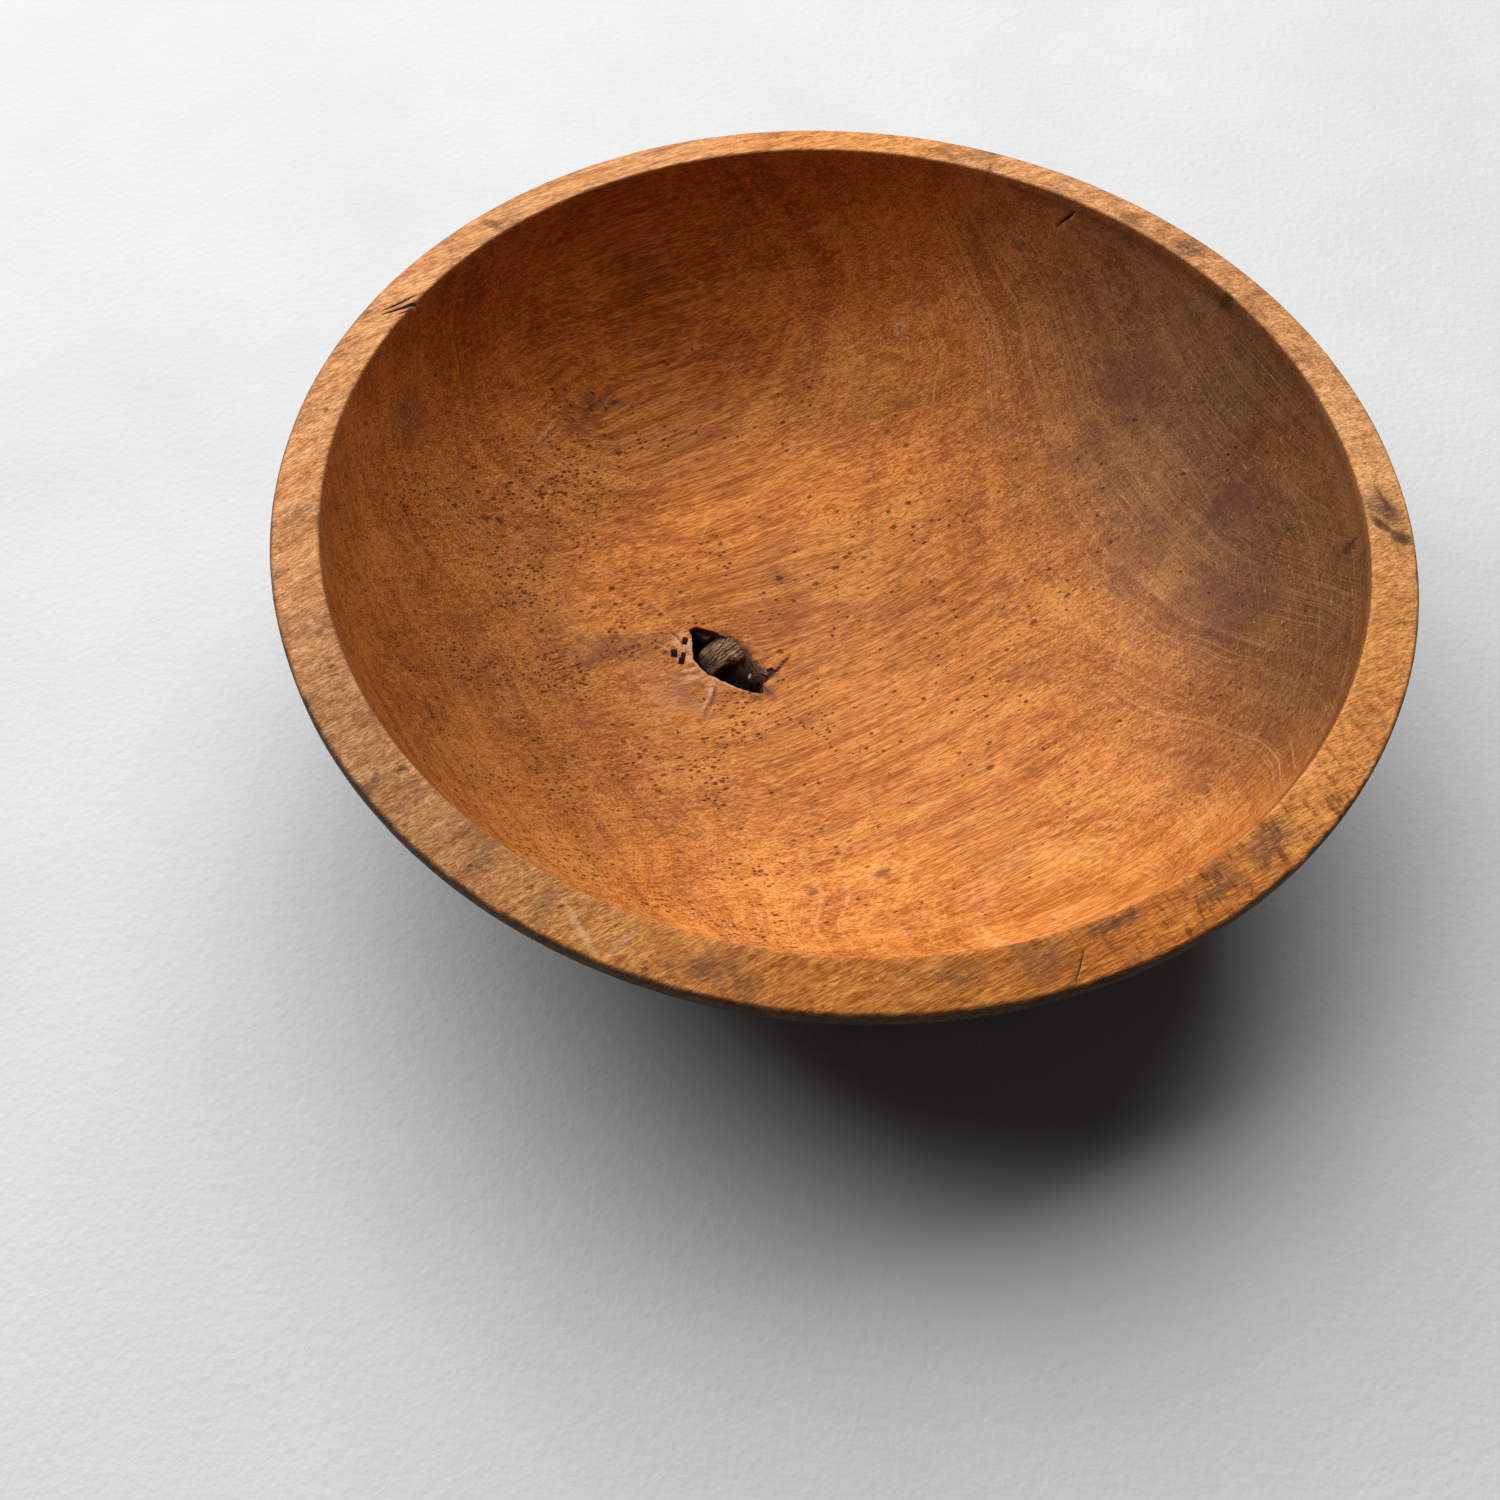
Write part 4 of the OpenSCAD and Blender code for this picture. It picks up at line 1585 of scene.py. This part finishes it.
        real = g.add("GeometryNodeRealizeInstances", {0: closed}).outputs[0]
        dressed = g.add("GeometryNodeSetMaterial", {"Geometry": real, "Material": given["Wood"]}).outputs[0]
        g.add("NodeGroupOutput", {0: dressed})
        return tree

    def build(self, wood: bpy.types.Material, cleft: bpy.types.Material) -> bpy.types.Object:
        """Builds the bowl's body.

        Args:
            wood: the bowl's wood.
            cleft: the wood inside splits and pits.

        Returns:
            The finished body.
        """
        section = self.section_object(self.rows())
        outline = self.outline_object()
        tree = self.tree()
        modifier = section.modifiers.new("turned", "NODES")
        modifier.node_group = tree
        first = self.hole_outline()[0]
        values = {
            "Hole Outline": outline,
            "Columns": self.columns,
            "First Angle": math.atan2(first[1] - self.knot_at[1], first[0] - self.knot_at[0]),
            "Top Height": self.height + self.hollow_rise,
            "Half Height": self.half_h,
            "Half Width": self.half_w,
            "Squareness": self.squareness,
            "Wood": wood,
        }
        for item in tree.interface.items_tree:
            if item.item_type == "SOCKET" and item.in_out == "INPUT" and item.name in values:
                modifier[item.identifier] = values[item.name]
        body = plain_object("bowl_body", section)
        body.data.materials.clear()
        body.data.materials.append(wood)
        for leftover in (section, outline):
            bpy.data.objects.remove(leftover)
        close_shell(body.data)
        self.wear(body.data)
        self.relief(body.data)
        smooth(body.data)
        return self.cut(body, cleft)

    def relief(self, mesh: bpy.types.Mesh) -> None:
        """Shapes the wood round the knot: its worn lips, swelling, creases and cracks.

        Args:
            mesh: the body's mesh, which gets the attribute "relief", in millimetres, which the wood's colour
                reads as pale wear where it is high and as painted shade in dips, creases and down the hole's
                walls.
        """
        points = point_rows(mesh, "co")
        local = self.to_knot(points)
        r = np.linalg.norm(points[:, :2], axis=1)
        floor_z = np.array([self.hollow_z(min(value, self.half_w)) for value in r])
        hole_z = self.floor_t - self.hole_depth
        near = (np.linalg.norm(local, axis=1) < self.relief_reach) & (points[:, 2] > hole_z)
        u, v = local[near].T / MM
        away = polygon_distance(local[near], self.hole_curve()) / MM
        outside = np.maximum(away, 0.0)
        back = soft_step(v, 1.0, 6.0) * soft_step(u, -15.0, -9.0) * (1 - soft_step(u, 11.0, 18.0))
        front = soft_step(-v, 0.0, 4.0)
        over = away > -0.5
        rise = -1.7 * back * np.exp(-(outside / 2.6) ** 2)
        rise += 0.35 * front * np.exp(-((outside - 0.9) / 0.8) ** 2)
        swell = sum(lump.height * np.exp(-((u - lump.u) ** 2 + (v - lump.v) ** 2) / lump.radius ** 2)
                    for lump in SWELLINGS)
        slow = np.array([noise.noise(Vector((a * 0.32, b * 0.32, 2.0))) for a, b in zip(u, v)])
        wild = slow + 0.5 * np.array([noise.noise(Vector((a, b, 4.0))) for a, b in zip(u, v)])
        rise += 0.32 * wild * np.exp(-(outside / 9.0) ** 2)
        shifted = np.column_stack([u, v]) + 0.5 * np.column_stack([wild, -wild])
        tint = np.zeros(len(u))
        for crease in CREASES:
            gap, share = line_distance(shifted, np.array(crease.line))
            fade = np.clip(4 * (1 - share), 0.0, 1.0)
            fold = crease.depth * fade * np.exp(-(gap / crease.half_w) ** 2) * over
            rise -= fold
            # Painted shade darkens the creases further through the relief's colour.
            tint -= 0.9 * fold
        level = np.clip((points[near, 2] - hole_z) / (floor_z[near] - hole_z), 0.0, 1.0)
        points[near, 2] += (rise + swell) * level * MM
        mesh.vertices.foreach_set("co", points.ravel())
        values = np.zeros(len(points))
        # Dips lower the values, which the wood's colour turns into painted shade.
        values[near] = (rise + 0.35 * swell) * over + tint
        values[near] += 0.45 * front * np.exp(-((outside - 0.5) / 0.7) ** 2) * over
        turn = np.arctan2(v, u)
        rays = np.array([noise.noise(Vector((math.cos(a) * 5.5, math.sin(a) * 5.5, b * 0.045)))
                         for a, b in zip(turn, outside)])
        worn = soft_step(-0.60 * u - 0.80 * v, 0.0, 11.0) * soft_step(-v, -1.0, 4.0)
        worn *= np.exp(-((outside - 2.0) / 7.5) ** 2)
        values[near] += worn * (0.52 + 1.3 * rays + 0.5 * wild) * over
        # Painted shade darkens the wood just outside the hole towards its right end.
        painted_shade_by_hole = soft_step(0.80 * u + 0.60 * v, 4.0, 14.0) * np.exp(-((outside - 1.5) / 5.5) ** 2)
        values[near] -= painted_shade_by_hole * (0.50 + 1.3 * rays + 0.4 * wild) * over
        # Painted shade darkens the hole's walls down towards its bottom.
        values[near] -= 2.5 * (1 - soft_step(level, 0.86, 0.985)) * (away < 0.6)
        mesh.attributes.new("relief", "FLOAT", "POINT").data.foreach_set("value", values)
        mesh.update()

    def surface(self, x: float, y: float) -> Vector:
        """Point of the hollow's surface under a place seen from above."""
        return Vector((x, y, self.hollow_z(math.hypot(x, y))))

    def pit_mesh(self, work: bmesh.types.BMesh, pit: Pit, at: tuple[float, float]) -> None:
        """Adds a cutter for a small pit with ragged sides.

        Args:
            work: the cutters' mesh.
            pit: the pit.
            at: its place seen from above, in metres.
        """
        top = self.surface(*at).z
        c, s = math.cos(math.radians(pit.turn)), math.sin(math.radians(pit.turn))
        layers = []
        for z, share in ((top - pit.depth * MM, 0.6), (top + 2 * MM, 1.1)):
            layer = []
            for i in range(self.pit_corners):
                angle = math.tau * i / self.pit_corners
                wild = 1 + 0.22 * noise.noise(Vector((at[0] * 900, at[1] * 900, i * 1.7)))
                a, b = (math.copysign(abs(wave) ** 0.4, wave) * half * MM * share * wild
                        for wave, half in ((math.cos(angle), pit.half_l), (math.sin(angle), pit.half_w)))
                layer.append(work.verts.new((at[0] + c * a - s * b, at[1] + s * a + c * b, z)))
            layers.append(layer)
        self.close_rings(work, layers)

    def slit_mesh(self, work: bmesh.types.BMesh, slit: Slit) -> None:
        """Adds a cutter for a split: a wedge along its line that narrows to both ends.

        Args:
            work: the cutters' mesh.
            slit: the split.
        """
        shares = np.linspace(0.0, 1.0, self.slit_rings)
        path = spaced(np.array(slit.line) * MM, self.slit_rings, False)
        along = np.gradient(path, axis=0)
        over = self.slit_over
        rings = []
        for i, (share, point) in enumerate(zip(shares, path)):
            into = Vector((point[0], point[1], 0)).normalized() if slit.sideways else Vector((0, 0, -1))
            side = into.cross(Vector(along[i])).normalized()
            if share < slit.widest:
                t = share / slit.widest * 0.5
            else:
                t = 0.5 + (share - slit.widest) / (1 - slit.widest) * 0.5
            swell = max(math.sin(math.pi * t), 0.02) ** 0.8
            wild = 1 + 0.25 * noise.noise(Vector(point) * 900)
            half = slit.width * MM / 2 * swell * wild
            depth = slit.depth * MM * swell ** 0.5
            at = Vector(point)
            wide = half * (1 + over / depth)
            corners = ((-over, wide), (-over, -wide), (depth, -half * 0.2), (depth, half * 0.2))
            rings.append([work.verts.new(at + into * down + side * aside) for down, aside in corners])
        self.close_rings(work, rings)

    def close_rings(self, work: bmesh.types.BMesh, rings: list[list[bmesh.types.BMVert]]) -> None:
        """Adds the faces between rings of points, and a face over each end.

        Args:
            work: the cutters' mesh.
            rings: the rings, each with as many points.
        """
        for first, second in zip(rings, rings[1:]):
            for i in range(len(first)):
                j = (i + 1) % len(first)
                work.faces.new((first[i], first[j], second[j], second[i]))
        work.faces.new(reversed(rings[0]))
        work.faces.new(rings[-1])

    def cut(self, body: bpy.types.Object, cleft: bpy.types.Material) -> bpy.types.Object:
        """Cuts the rim's splits, the pits by the knot and the pinholes into the body.

        Args:
            body: the whole body.
            cleft: the wood inside the cuts.

        Returns:
            The cut body.
        """
        work = bmesh.new()
        for pit in KNOT_PITS:
            turned = replace(pit, turn=pit.turn + math.degrees(self.hole_turn))
            self.pit_mesh(work, turned, self.from_knot(pit.x * MM, pit.y * MM))
        for x, y in PINHOLES:
            self.pit_mesh(work, PINHOLE, (x * MM, y * MM))
        for slit in SLITS:
            self.slit_mesh(work, slit)
        for x0, y0, x1, y1 in SCORES:
            ends = [tuple(self.surface(x * MM, y * MM) / MM) for x, y in ((x0, y0), (x1, y1))]
            self.slit_mesh(work, Slit(tuple(ends), SCORE_SIZE, SCORE_SIZE))
        bmesh.ops.recalc_face_normals(work, faces=work.faces)
        mesh = bpy.data.meshes.new("cuts")
        work.to_mesh(mesh)
        work.free()
        mesh.materials.append(cleft)
        cuts = new_object("cuts", mesh)
        modifier = body.modifiers.new("cuts", "BOOLEAN")
        modifier.operation = "DIFFERENCE"
        modifier.solver = "MANIFOLD"
        modifier.object = cuts
        modifier.material_mode = "TRANSFER"
        whole = kdtree.KDTree(len(body.data.vertices))
        for vertex in body.data.vertices:
            whole.insert(vertex.co, vertex.index)
        whole.balance()
        carved = plain_object("bowl_body", body)
        nearest = [whole.find(vertex.co)[1] for vertex in carved.data.vertices]
        for name in (*BODY_NUMBERS, "relief"):
            values = np.empty(len(body.data.vertices))
            body.data.attributes[name].data.foreach_get("value", values)
            if name not in carved.data.attributes:
                carved.data.attributes.new(name, "FLOAT", "POINT")
            carved.data.attributes[name].data.foreach_set("value", values[nearest])
        for leftover in (body, cuts):
            bpy.data.objects.remove(leftover)
        carved.name = "bowl_body"
        smooth(carved.data)
        log.info("cut body: %d faces", len(carved.data.polygons))
        return carved

    def wear(self, mesh: bpy.types.Mesh) -> None:
        """Gives the surface small hand-worn waves, always into the wood.

        Args:
            mesh: the body's mesh.
        """
        points = point_rows(mesh, "co")
        normals = point_rows(mesh, "normal")
        waves = np.array([noise.noise(Vector(p) * 34.0) for p in points])
        waves += 0.5 * np.array([noise.noise(Vector(p) * 90.0) for p in points])
        depth = self.wear_depth * np.clip(0.5 + 0.5 * waves, 0.0, 1.0)
        depth[points[:, 2] < self.foot_h] = 0.0
        points -= normals * depth[:, None]
        mesh.vertices.foreach_set("co", points.ravel())
        mesh.update()


def plain_object(name: str, source: bpy.types.Object) -> bpy.types.Object:
    """Object with the plain mesh that a source's modifiers make.

    Args:
        name: the new object's name.
        source: the object with modifiers.

    Returns:
        The new object, linked to the scene.
    """
    depsgraph = bpy.context.evaluated_depsgraph_get()
    mesh = bpy.data.meshes.new_from_object(source.evaluated_get(depsgraph), depsgraph=depsgraph)
    mesh.name = name
    return new_object(name, mesh)


def close_shell(mesh: bpy.types.Mesh) -> None:
    """Merges doubles, drops flat faces and turns all faces outwards.

    Args:
        mesh: a closed shell.
    """
    work = bmesh.new()
    work.from_mesh(mesh)
    bmesh.ops.remove_doubles(work, verts=work.verts, dist=MERGE_DISTANCE)
    bmesh.ops.dissolve_degenerate(work, dist=FLAT_DISTANCE, edges=work.edges)
    bmesh.ops.recalc_face_normals(work, faces=work.faces)
    work.to_mesh(mesh)
    work.free()


def smooth(mesh: bpy.types.Mesh) -> None:
    """Shades all faces smooth."""
    mesh.polygons.foreach_set("use_smooth", [True] * len(mesh.polygons))
    mesh.update()


@dataclass
class Studio:
    """Plain pale floor, soft light and the camera."""

    camera_at: tuple[float, float, float] = (-0.0329, -0.4734, 0.6548)
    pitch: float = math.radians(56.8)
    roll: float = math.radians(3.26)
    lens: float = 42.0
    sensor: float = 36.0
    key_azimuth: float = math.radians(118)
    key_height: float = math.radians(52)
    key_distance: float = 3.8
    key_w: float = 6.6
    key_h: float = 4.2
    key_power: float = 282.0
    fill: float = 0.025
    backdrop: float = 0.62
    surround_colour: Triple = (0.98, 0.99, 1.0)
    floor_half: float = 6.0

    def camera(self) -> None:
        """Places the camera at the photograph's viewing angle."""
        data = bpy.data.cameras.new("camera")
        data.lens = self.lens
        data.sensor_width = self.sensor
        camera = new_object("camera", data)
        ahead = Vector((0.0, math.cos(self.pitch), -math.sin(self.pitch)))
        level = Vector((1.0, 0.0, 0.0))
        over = Vector((0.0, math.sin(self.pitch), math.cos(self.pitch)))
        right = math.cos(self.roll) * level + math.sin(self.roll) * over
        up = -math.sin(self.roll) * level + math.cos(self.roll) * over
        turn = Matrix((right, up, -ahead)).transposed().to_4x4()
        camera.matrix_world = Matrix.Translation(self.camera_at) @ turn
        bpy.context.scene.camera = camera

    def lamp(self) -> None:
        """Adds the wide soft key lamp, which looks at the bowl from behind and from the left."""
        data = bpy.data.lights.new("key_lamp", "AREA")
        data.shape = "RECTANGLE"
        data.size = self.key_w
        data.size_y = self.key_h
        data.energy = self.key_power
        lamp = new_object("key_lamp", data)
        level = math.cos(self.key_height)
        at = Vector((math.cos(self.key_azimuth) * level, math.sin(self.key_azimuth) * level,
                     math.sin(self.key_height)))
        lamp.location = at * self.key_distance
        lamp.rotation_euler = at.to_track_quat("Z", "Y").to_euler()

    def light(self) -> None:
        """Lights the bowl with one soft key lamp and a dim pale surround."""
        self.lamp()
        world = bpy.data.worlds.new("surround")
        bpy.context.scene.world = world
        world.use_nodes = True
        world.node_tree.nodes.clear()
        g = Graph(world.node_tree)
        seen = g.add("ShaderNodeLightPath").outputs["Is Camera Ray"]
        strength = g.blend(seen, self.fill, self.backdrop)
        inputs = {"Color": (*self.surround_colour, 1.0), "Strength": strength}
        background = g.add("ShaderNodeBackground", inputs)
        g.add("ShaderNodeOutputWorld", {"Surface": background.outputs[0]})

    def floor(self) -> None:
        """Lays the floor."""
        mesh = bpy.data.meshes.new("floor")
        h = self.floor_half
        mesh.from_pydata([(-h, -h, 0), (h, -h, 0), (h, h, 0), (-h, h, 0)], [], [(0, 1, 2, 3)])
        mesh.materials.append(PaleGround().build())
        floor = new_object("floor", mesh)

    def build(self) -> None:
        """Sets up the camera, the light, the floor and the plain view."""
        bpy.context.scene.view_settings.view_transform = "Standard"
        self.camera()
        self.light()
        self.floor()


@dataclass
class BranchKnot:
    """The dead branch in the bowl's floor: its broken core, seated in the dark bark that parts it off."""

    bowl: TurnedBowl
    fit: float = 0.25 * MM
    core_l: float = 20.0 * MM
    core_w: float = 19.5 * MM
    core_place_shares: tuple[float, float] = (-0.12, 0.10)
    core_shares: tuple[tuple[float, float], ...] = (
        (-0.50, -0.10), (-0.24, -0.42), (0.10, -0.50), (0.22, -0.43), (0.24, -0.20), (0.27, 0.02),
        (0.50, 0.28), (0.34, 0.40), (-0.04, 0.50), (-0.35, 0.44), (-0.46, 0.36),
    )
    core_slope: float = math.radians(24)
    core_left_slope: float = math.radians(34)
    core_left_drop: float = 2.0 * MM
    core_drop: float = -1.6 * MM
    core_facet_share: float = -0.22
    core_split_share: float = -0.06
    core_split_turn: float = math.radians(20)
    core_split_w: float = 0.8 * MM
    core_split_depth: float = 2.4 * MM
    core_seat: float = 1.6 * MM
    core_wave: float = 0.5 * MM
    core_seed: float = 3.0
    bark_t: float = 3.0 * MM
    bark_drop: float = 0.4 * MM
    columns: int = 200
    rings: int = 44
    side_rows: int = 10

    @property
    def hole_z(self) -> float:
        """Height of the hole's bottom."""
        return self.bowl.floor_t - self.bowl.hole_depth

    @property
    def core_z(self) -> float:
        """Height of the core's underside."""
        return self.hole_z + self.bark_t - self.core_seat

    @property
    def core_shift(self) -> np.ndarray:
        """Place of the core's middle in the knot's frame."""
        return np.array(self.core_place_shares) * (self.bowl.hole_l, self.bowl.hole_w)

    def core_outline(self) -> np.ndarray:
        """Outline of the core in the knot's frame."""
        corners = np.array(self.core_shares) * (self.core_l, self.core_w) + self.core_shift
        return rounded(corners, CURVE_STEPS, self.core_wave, self.core_seed)

    def bark_outline(self) -> np.ndarray:
        """Outline of the bark in the knot's frame, clear of the hole by the fit."""
        size = np.array((self.bowl.hole_l, self.bowl.hole_w))
        return self.bowl.hole_curve() * (size - 2 * self.fit) / size

    def grain_noise(self, points: np.ndarray, scale: float, seed: float) -> np.ndarray:
        """Even noise from -1 to 1 at places in the knot's frame."""
        return np.array([noise.noise(Vector((p[0] * scale, p[1] * scale, seed))) for p in points])

    def core_top(self, points: np.ndarray) -> np.ndarray:
        """Height of the core's broken top: a slope to the front, a facet at the left, ridges and a split.

        Args:
            points: places in the knot's frame.

        Returns:
            The heights.
        """
        u, v = (points - self.core_shift).T
        top = self.bowl.floor_t - self.core_drop
        slope = top - np.maximum(2.5 * MM - v, 0.0) * math.tan(self.core_slope)
        past = u - self.core_facet_share * self.core_l
        facet = top - self.core_left_drop + past * math.tan(self.core_left_slope)
        z = np.minimum(slope, np.maximum(facet, self.core_z + 1.5 * MM))
        bend = 0.9 * self.grain_noise(points, 160.0, 2.0)
        across = u * math.cos(0.2) - v * math.sin(0.2)
        ridges = self.grain_noise(np.column_stack([across / MM * 1.15 + bend, v / MM * 0.10]), 1.0, 9.0)
        z -= 0.55 * MM * np.clip(0.35 + 1.6 * ridges, 0.0, 1.0)
        z -= 0.9 * MM * np.clip(self.grain_noise(points, 240.0, 5.0) + 0.15, 0.0, 1.0)
        c, s = math.cos(self.core_split_turn), math.sin(self.core_split_turn)
        split = (u - self.core_split_share * self.core_l) * c + v * s
        split += 0.5 * MM * self.grain_noise(points, 300.0, 8.0)
        width = self.core_split_w / 2 * np.clip(0.4 + v / self.core_w * 1.6, 0.0, 1.0)
        depth = np.clip(1 - np.abs(split) / np.maximum(width, 0.05 * MM), 0.0, 1.0) * (v > 0)
        z -= self.core_split_depth * depth
        edge = -polygon_distance(points, self.core_outline())
        z -= 0.8 * MM * (1 - soft_step(edge, 0.0, 1.0 * MM)) ** 2
        return np.maximum(z, self.core_z + MM)

    def bark_top(self, points: np.ndarray) -> np.ndarray:
        """Height of the bark: low at the front, rising to the back edge in slabs, with the core's seat.

        Args:
            points: places in the knot's frame.

        Returns:
            The heights.
        """
        u, v = points.T
        low = self.hole_z + self.bark_t
        edge = self.bowl.floor_t - self.bark_drop
        outline = self.bark_outline()
        ends = outline[:, 0].argsort()
        back = outline[ends][outline[ends][:, 1] >= -0.5 * MM]
        front = outline[ends][outline[ends][:, 1] < 0.5 * MM]
        high = np.interp(u, back[:, 0], back[:, 1])
        deep = np.interp(u, front[:, 0], front[:, 1])
        share = np.clip((v - deep) / np.maximum(high - deep, MM), 0.0, 1.0)
        left = 1 - soft_step(u, -13 * MM, -9 * MM)
        slabs = 0.16 * self.grain_noise(points, 330.0, 7.0) * left
        rise = soft_step(share + slabs, 0.30, 0.98) * (1 - left) + soft_step(share + slabs, 0.55, 0.80) * left
        z = low + (edge - low) * rise
        z -= 0.8 * MM * np.clip(0.5 + self.grain_noise(points, 210.0, 3.0), 0.0, 1.0)
        z -= 0.3 * MM * np.clip(0.5 + self.grain_noise(points, 700.0, 6.0), 0.0, 1.0)
        seat = soft_step(-polygon_distance(points, self.core_outline()), 0.2 * MM, 0.8 * MM)
        return np.minimum(z, z + (self.core_z - 0.1 * MM - z) * seat)

    def lump(self, name: str, outline: np.ndarray, low: float, top: Callable[[np.ndarray], np.ndarray],
             material: bpy.types.Material) -> bpy.types.Object:
        """A closed lump with an outline, a flat underside and a shaped top.

        Args:
            name: its name.
            outline: its corners in the knot's frame.
            low: height of its underside.
            top: gives its top's height at places in the knot's frame.
            material: its finish.

        Returns:
            The lump.
        """
        middle = outline.mean(axis=0)
        border = spaced(outline, self.columns, True)
        shares = np.linspace(1.0, 0.0, self.rings, endpoint=False)
        flat = [middle + share * (border - middle) for share in shares]
        heights = [top(ring) for ring in flat]
        layers = [np.column_stack([border, np.full(self.columns, low)])]
        for i in range(1, self.side_rows):
            layers.append(np.column_stack([border, low + (heights[0] - low) * i / self.side_rows]))
        layers += [np.column_stack([ring, z]) for ring, z in zip(flat, heights)]
        peak = np.array([[*middle, top(middle[None, :])[0]], [*middle, low]])
        points = np.vstack(layers + [peak])
        x, y = self.bowl.from_knot(points[:, 0], points[:, 1])
        faces = []
        n = self.columns
        for layer in range(len(layers) - 1):
            for i in range(n):
                j = (i + 1) % n
                faces.append((layer * n + i, layer * n + j, (layer + 1) * n + j, (layer + 1) * n + i))
        last, peak_i, low_i = (len(layers) - 1) * n, len(points) - 2, len(points) - 1
        faces += [(last + i, last + (i + 1) % n, peak_i) for i in range(n)]
        faces += [((i + 1) % n, i, low_i) for i in range(n)]
        mesh = bpy.data.meshes.new(name)
        mesh.from_pydata(np.column_stack([x, y, points[:, 2]]).tolist(), [], faces)
        mesh.materials.append(material)
        close_shell(mesh)
        smooth(mesh)
        return new_object(name, mesh)

    def build_core(self, wood: bpy.types.Material) -> bpy.types.Object:
        """Builds the broken branch core."""
        return self.lump("branch_core", self.core_outline(), self.core_z, self.core_top, wood)

    def build_bark(self, bark: bpy.types.Material) -> bpy.types.Object:
        """Builds the bark round the core."""
        return self.lump("branch_bark", self.bark_outline(), self.hole_z, self.bark_top, bark)


def place_piece(piece: bpy.types.Object, node: str) -> None:
    """Puts a finished piece in place of a node.

    Args:
        piece: the piece.
        node: the node that it stands for.
    """
    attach(piece, "root")
    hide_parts(node)
    log.info("%s stands for %s: %d faces", piece.name, node, len(piece.data.polygons))


def main() -> None:
    """Builds the studio, the bowl and its knot."""
    logging.basicConfig(level=logging.INFO, format="%(message)s")
    Studio().build()
    low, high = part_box("bowl")
    bowl = TurnedBowl(outer_r=(high[0] - low[0]) / 2, height=high[2])
    body = bowl.build(BowlWood().build(), CleftWood().build())
    place_piece(body, "bowl")
    knot = BranchKnot(bowl)
    place_piece(knot.build_core(BranchWood().build()), "knot_core")
    place_piece(knot.build_bark(Bark().build()), "knot_bark")


if __name__ == "__main__":
    main()
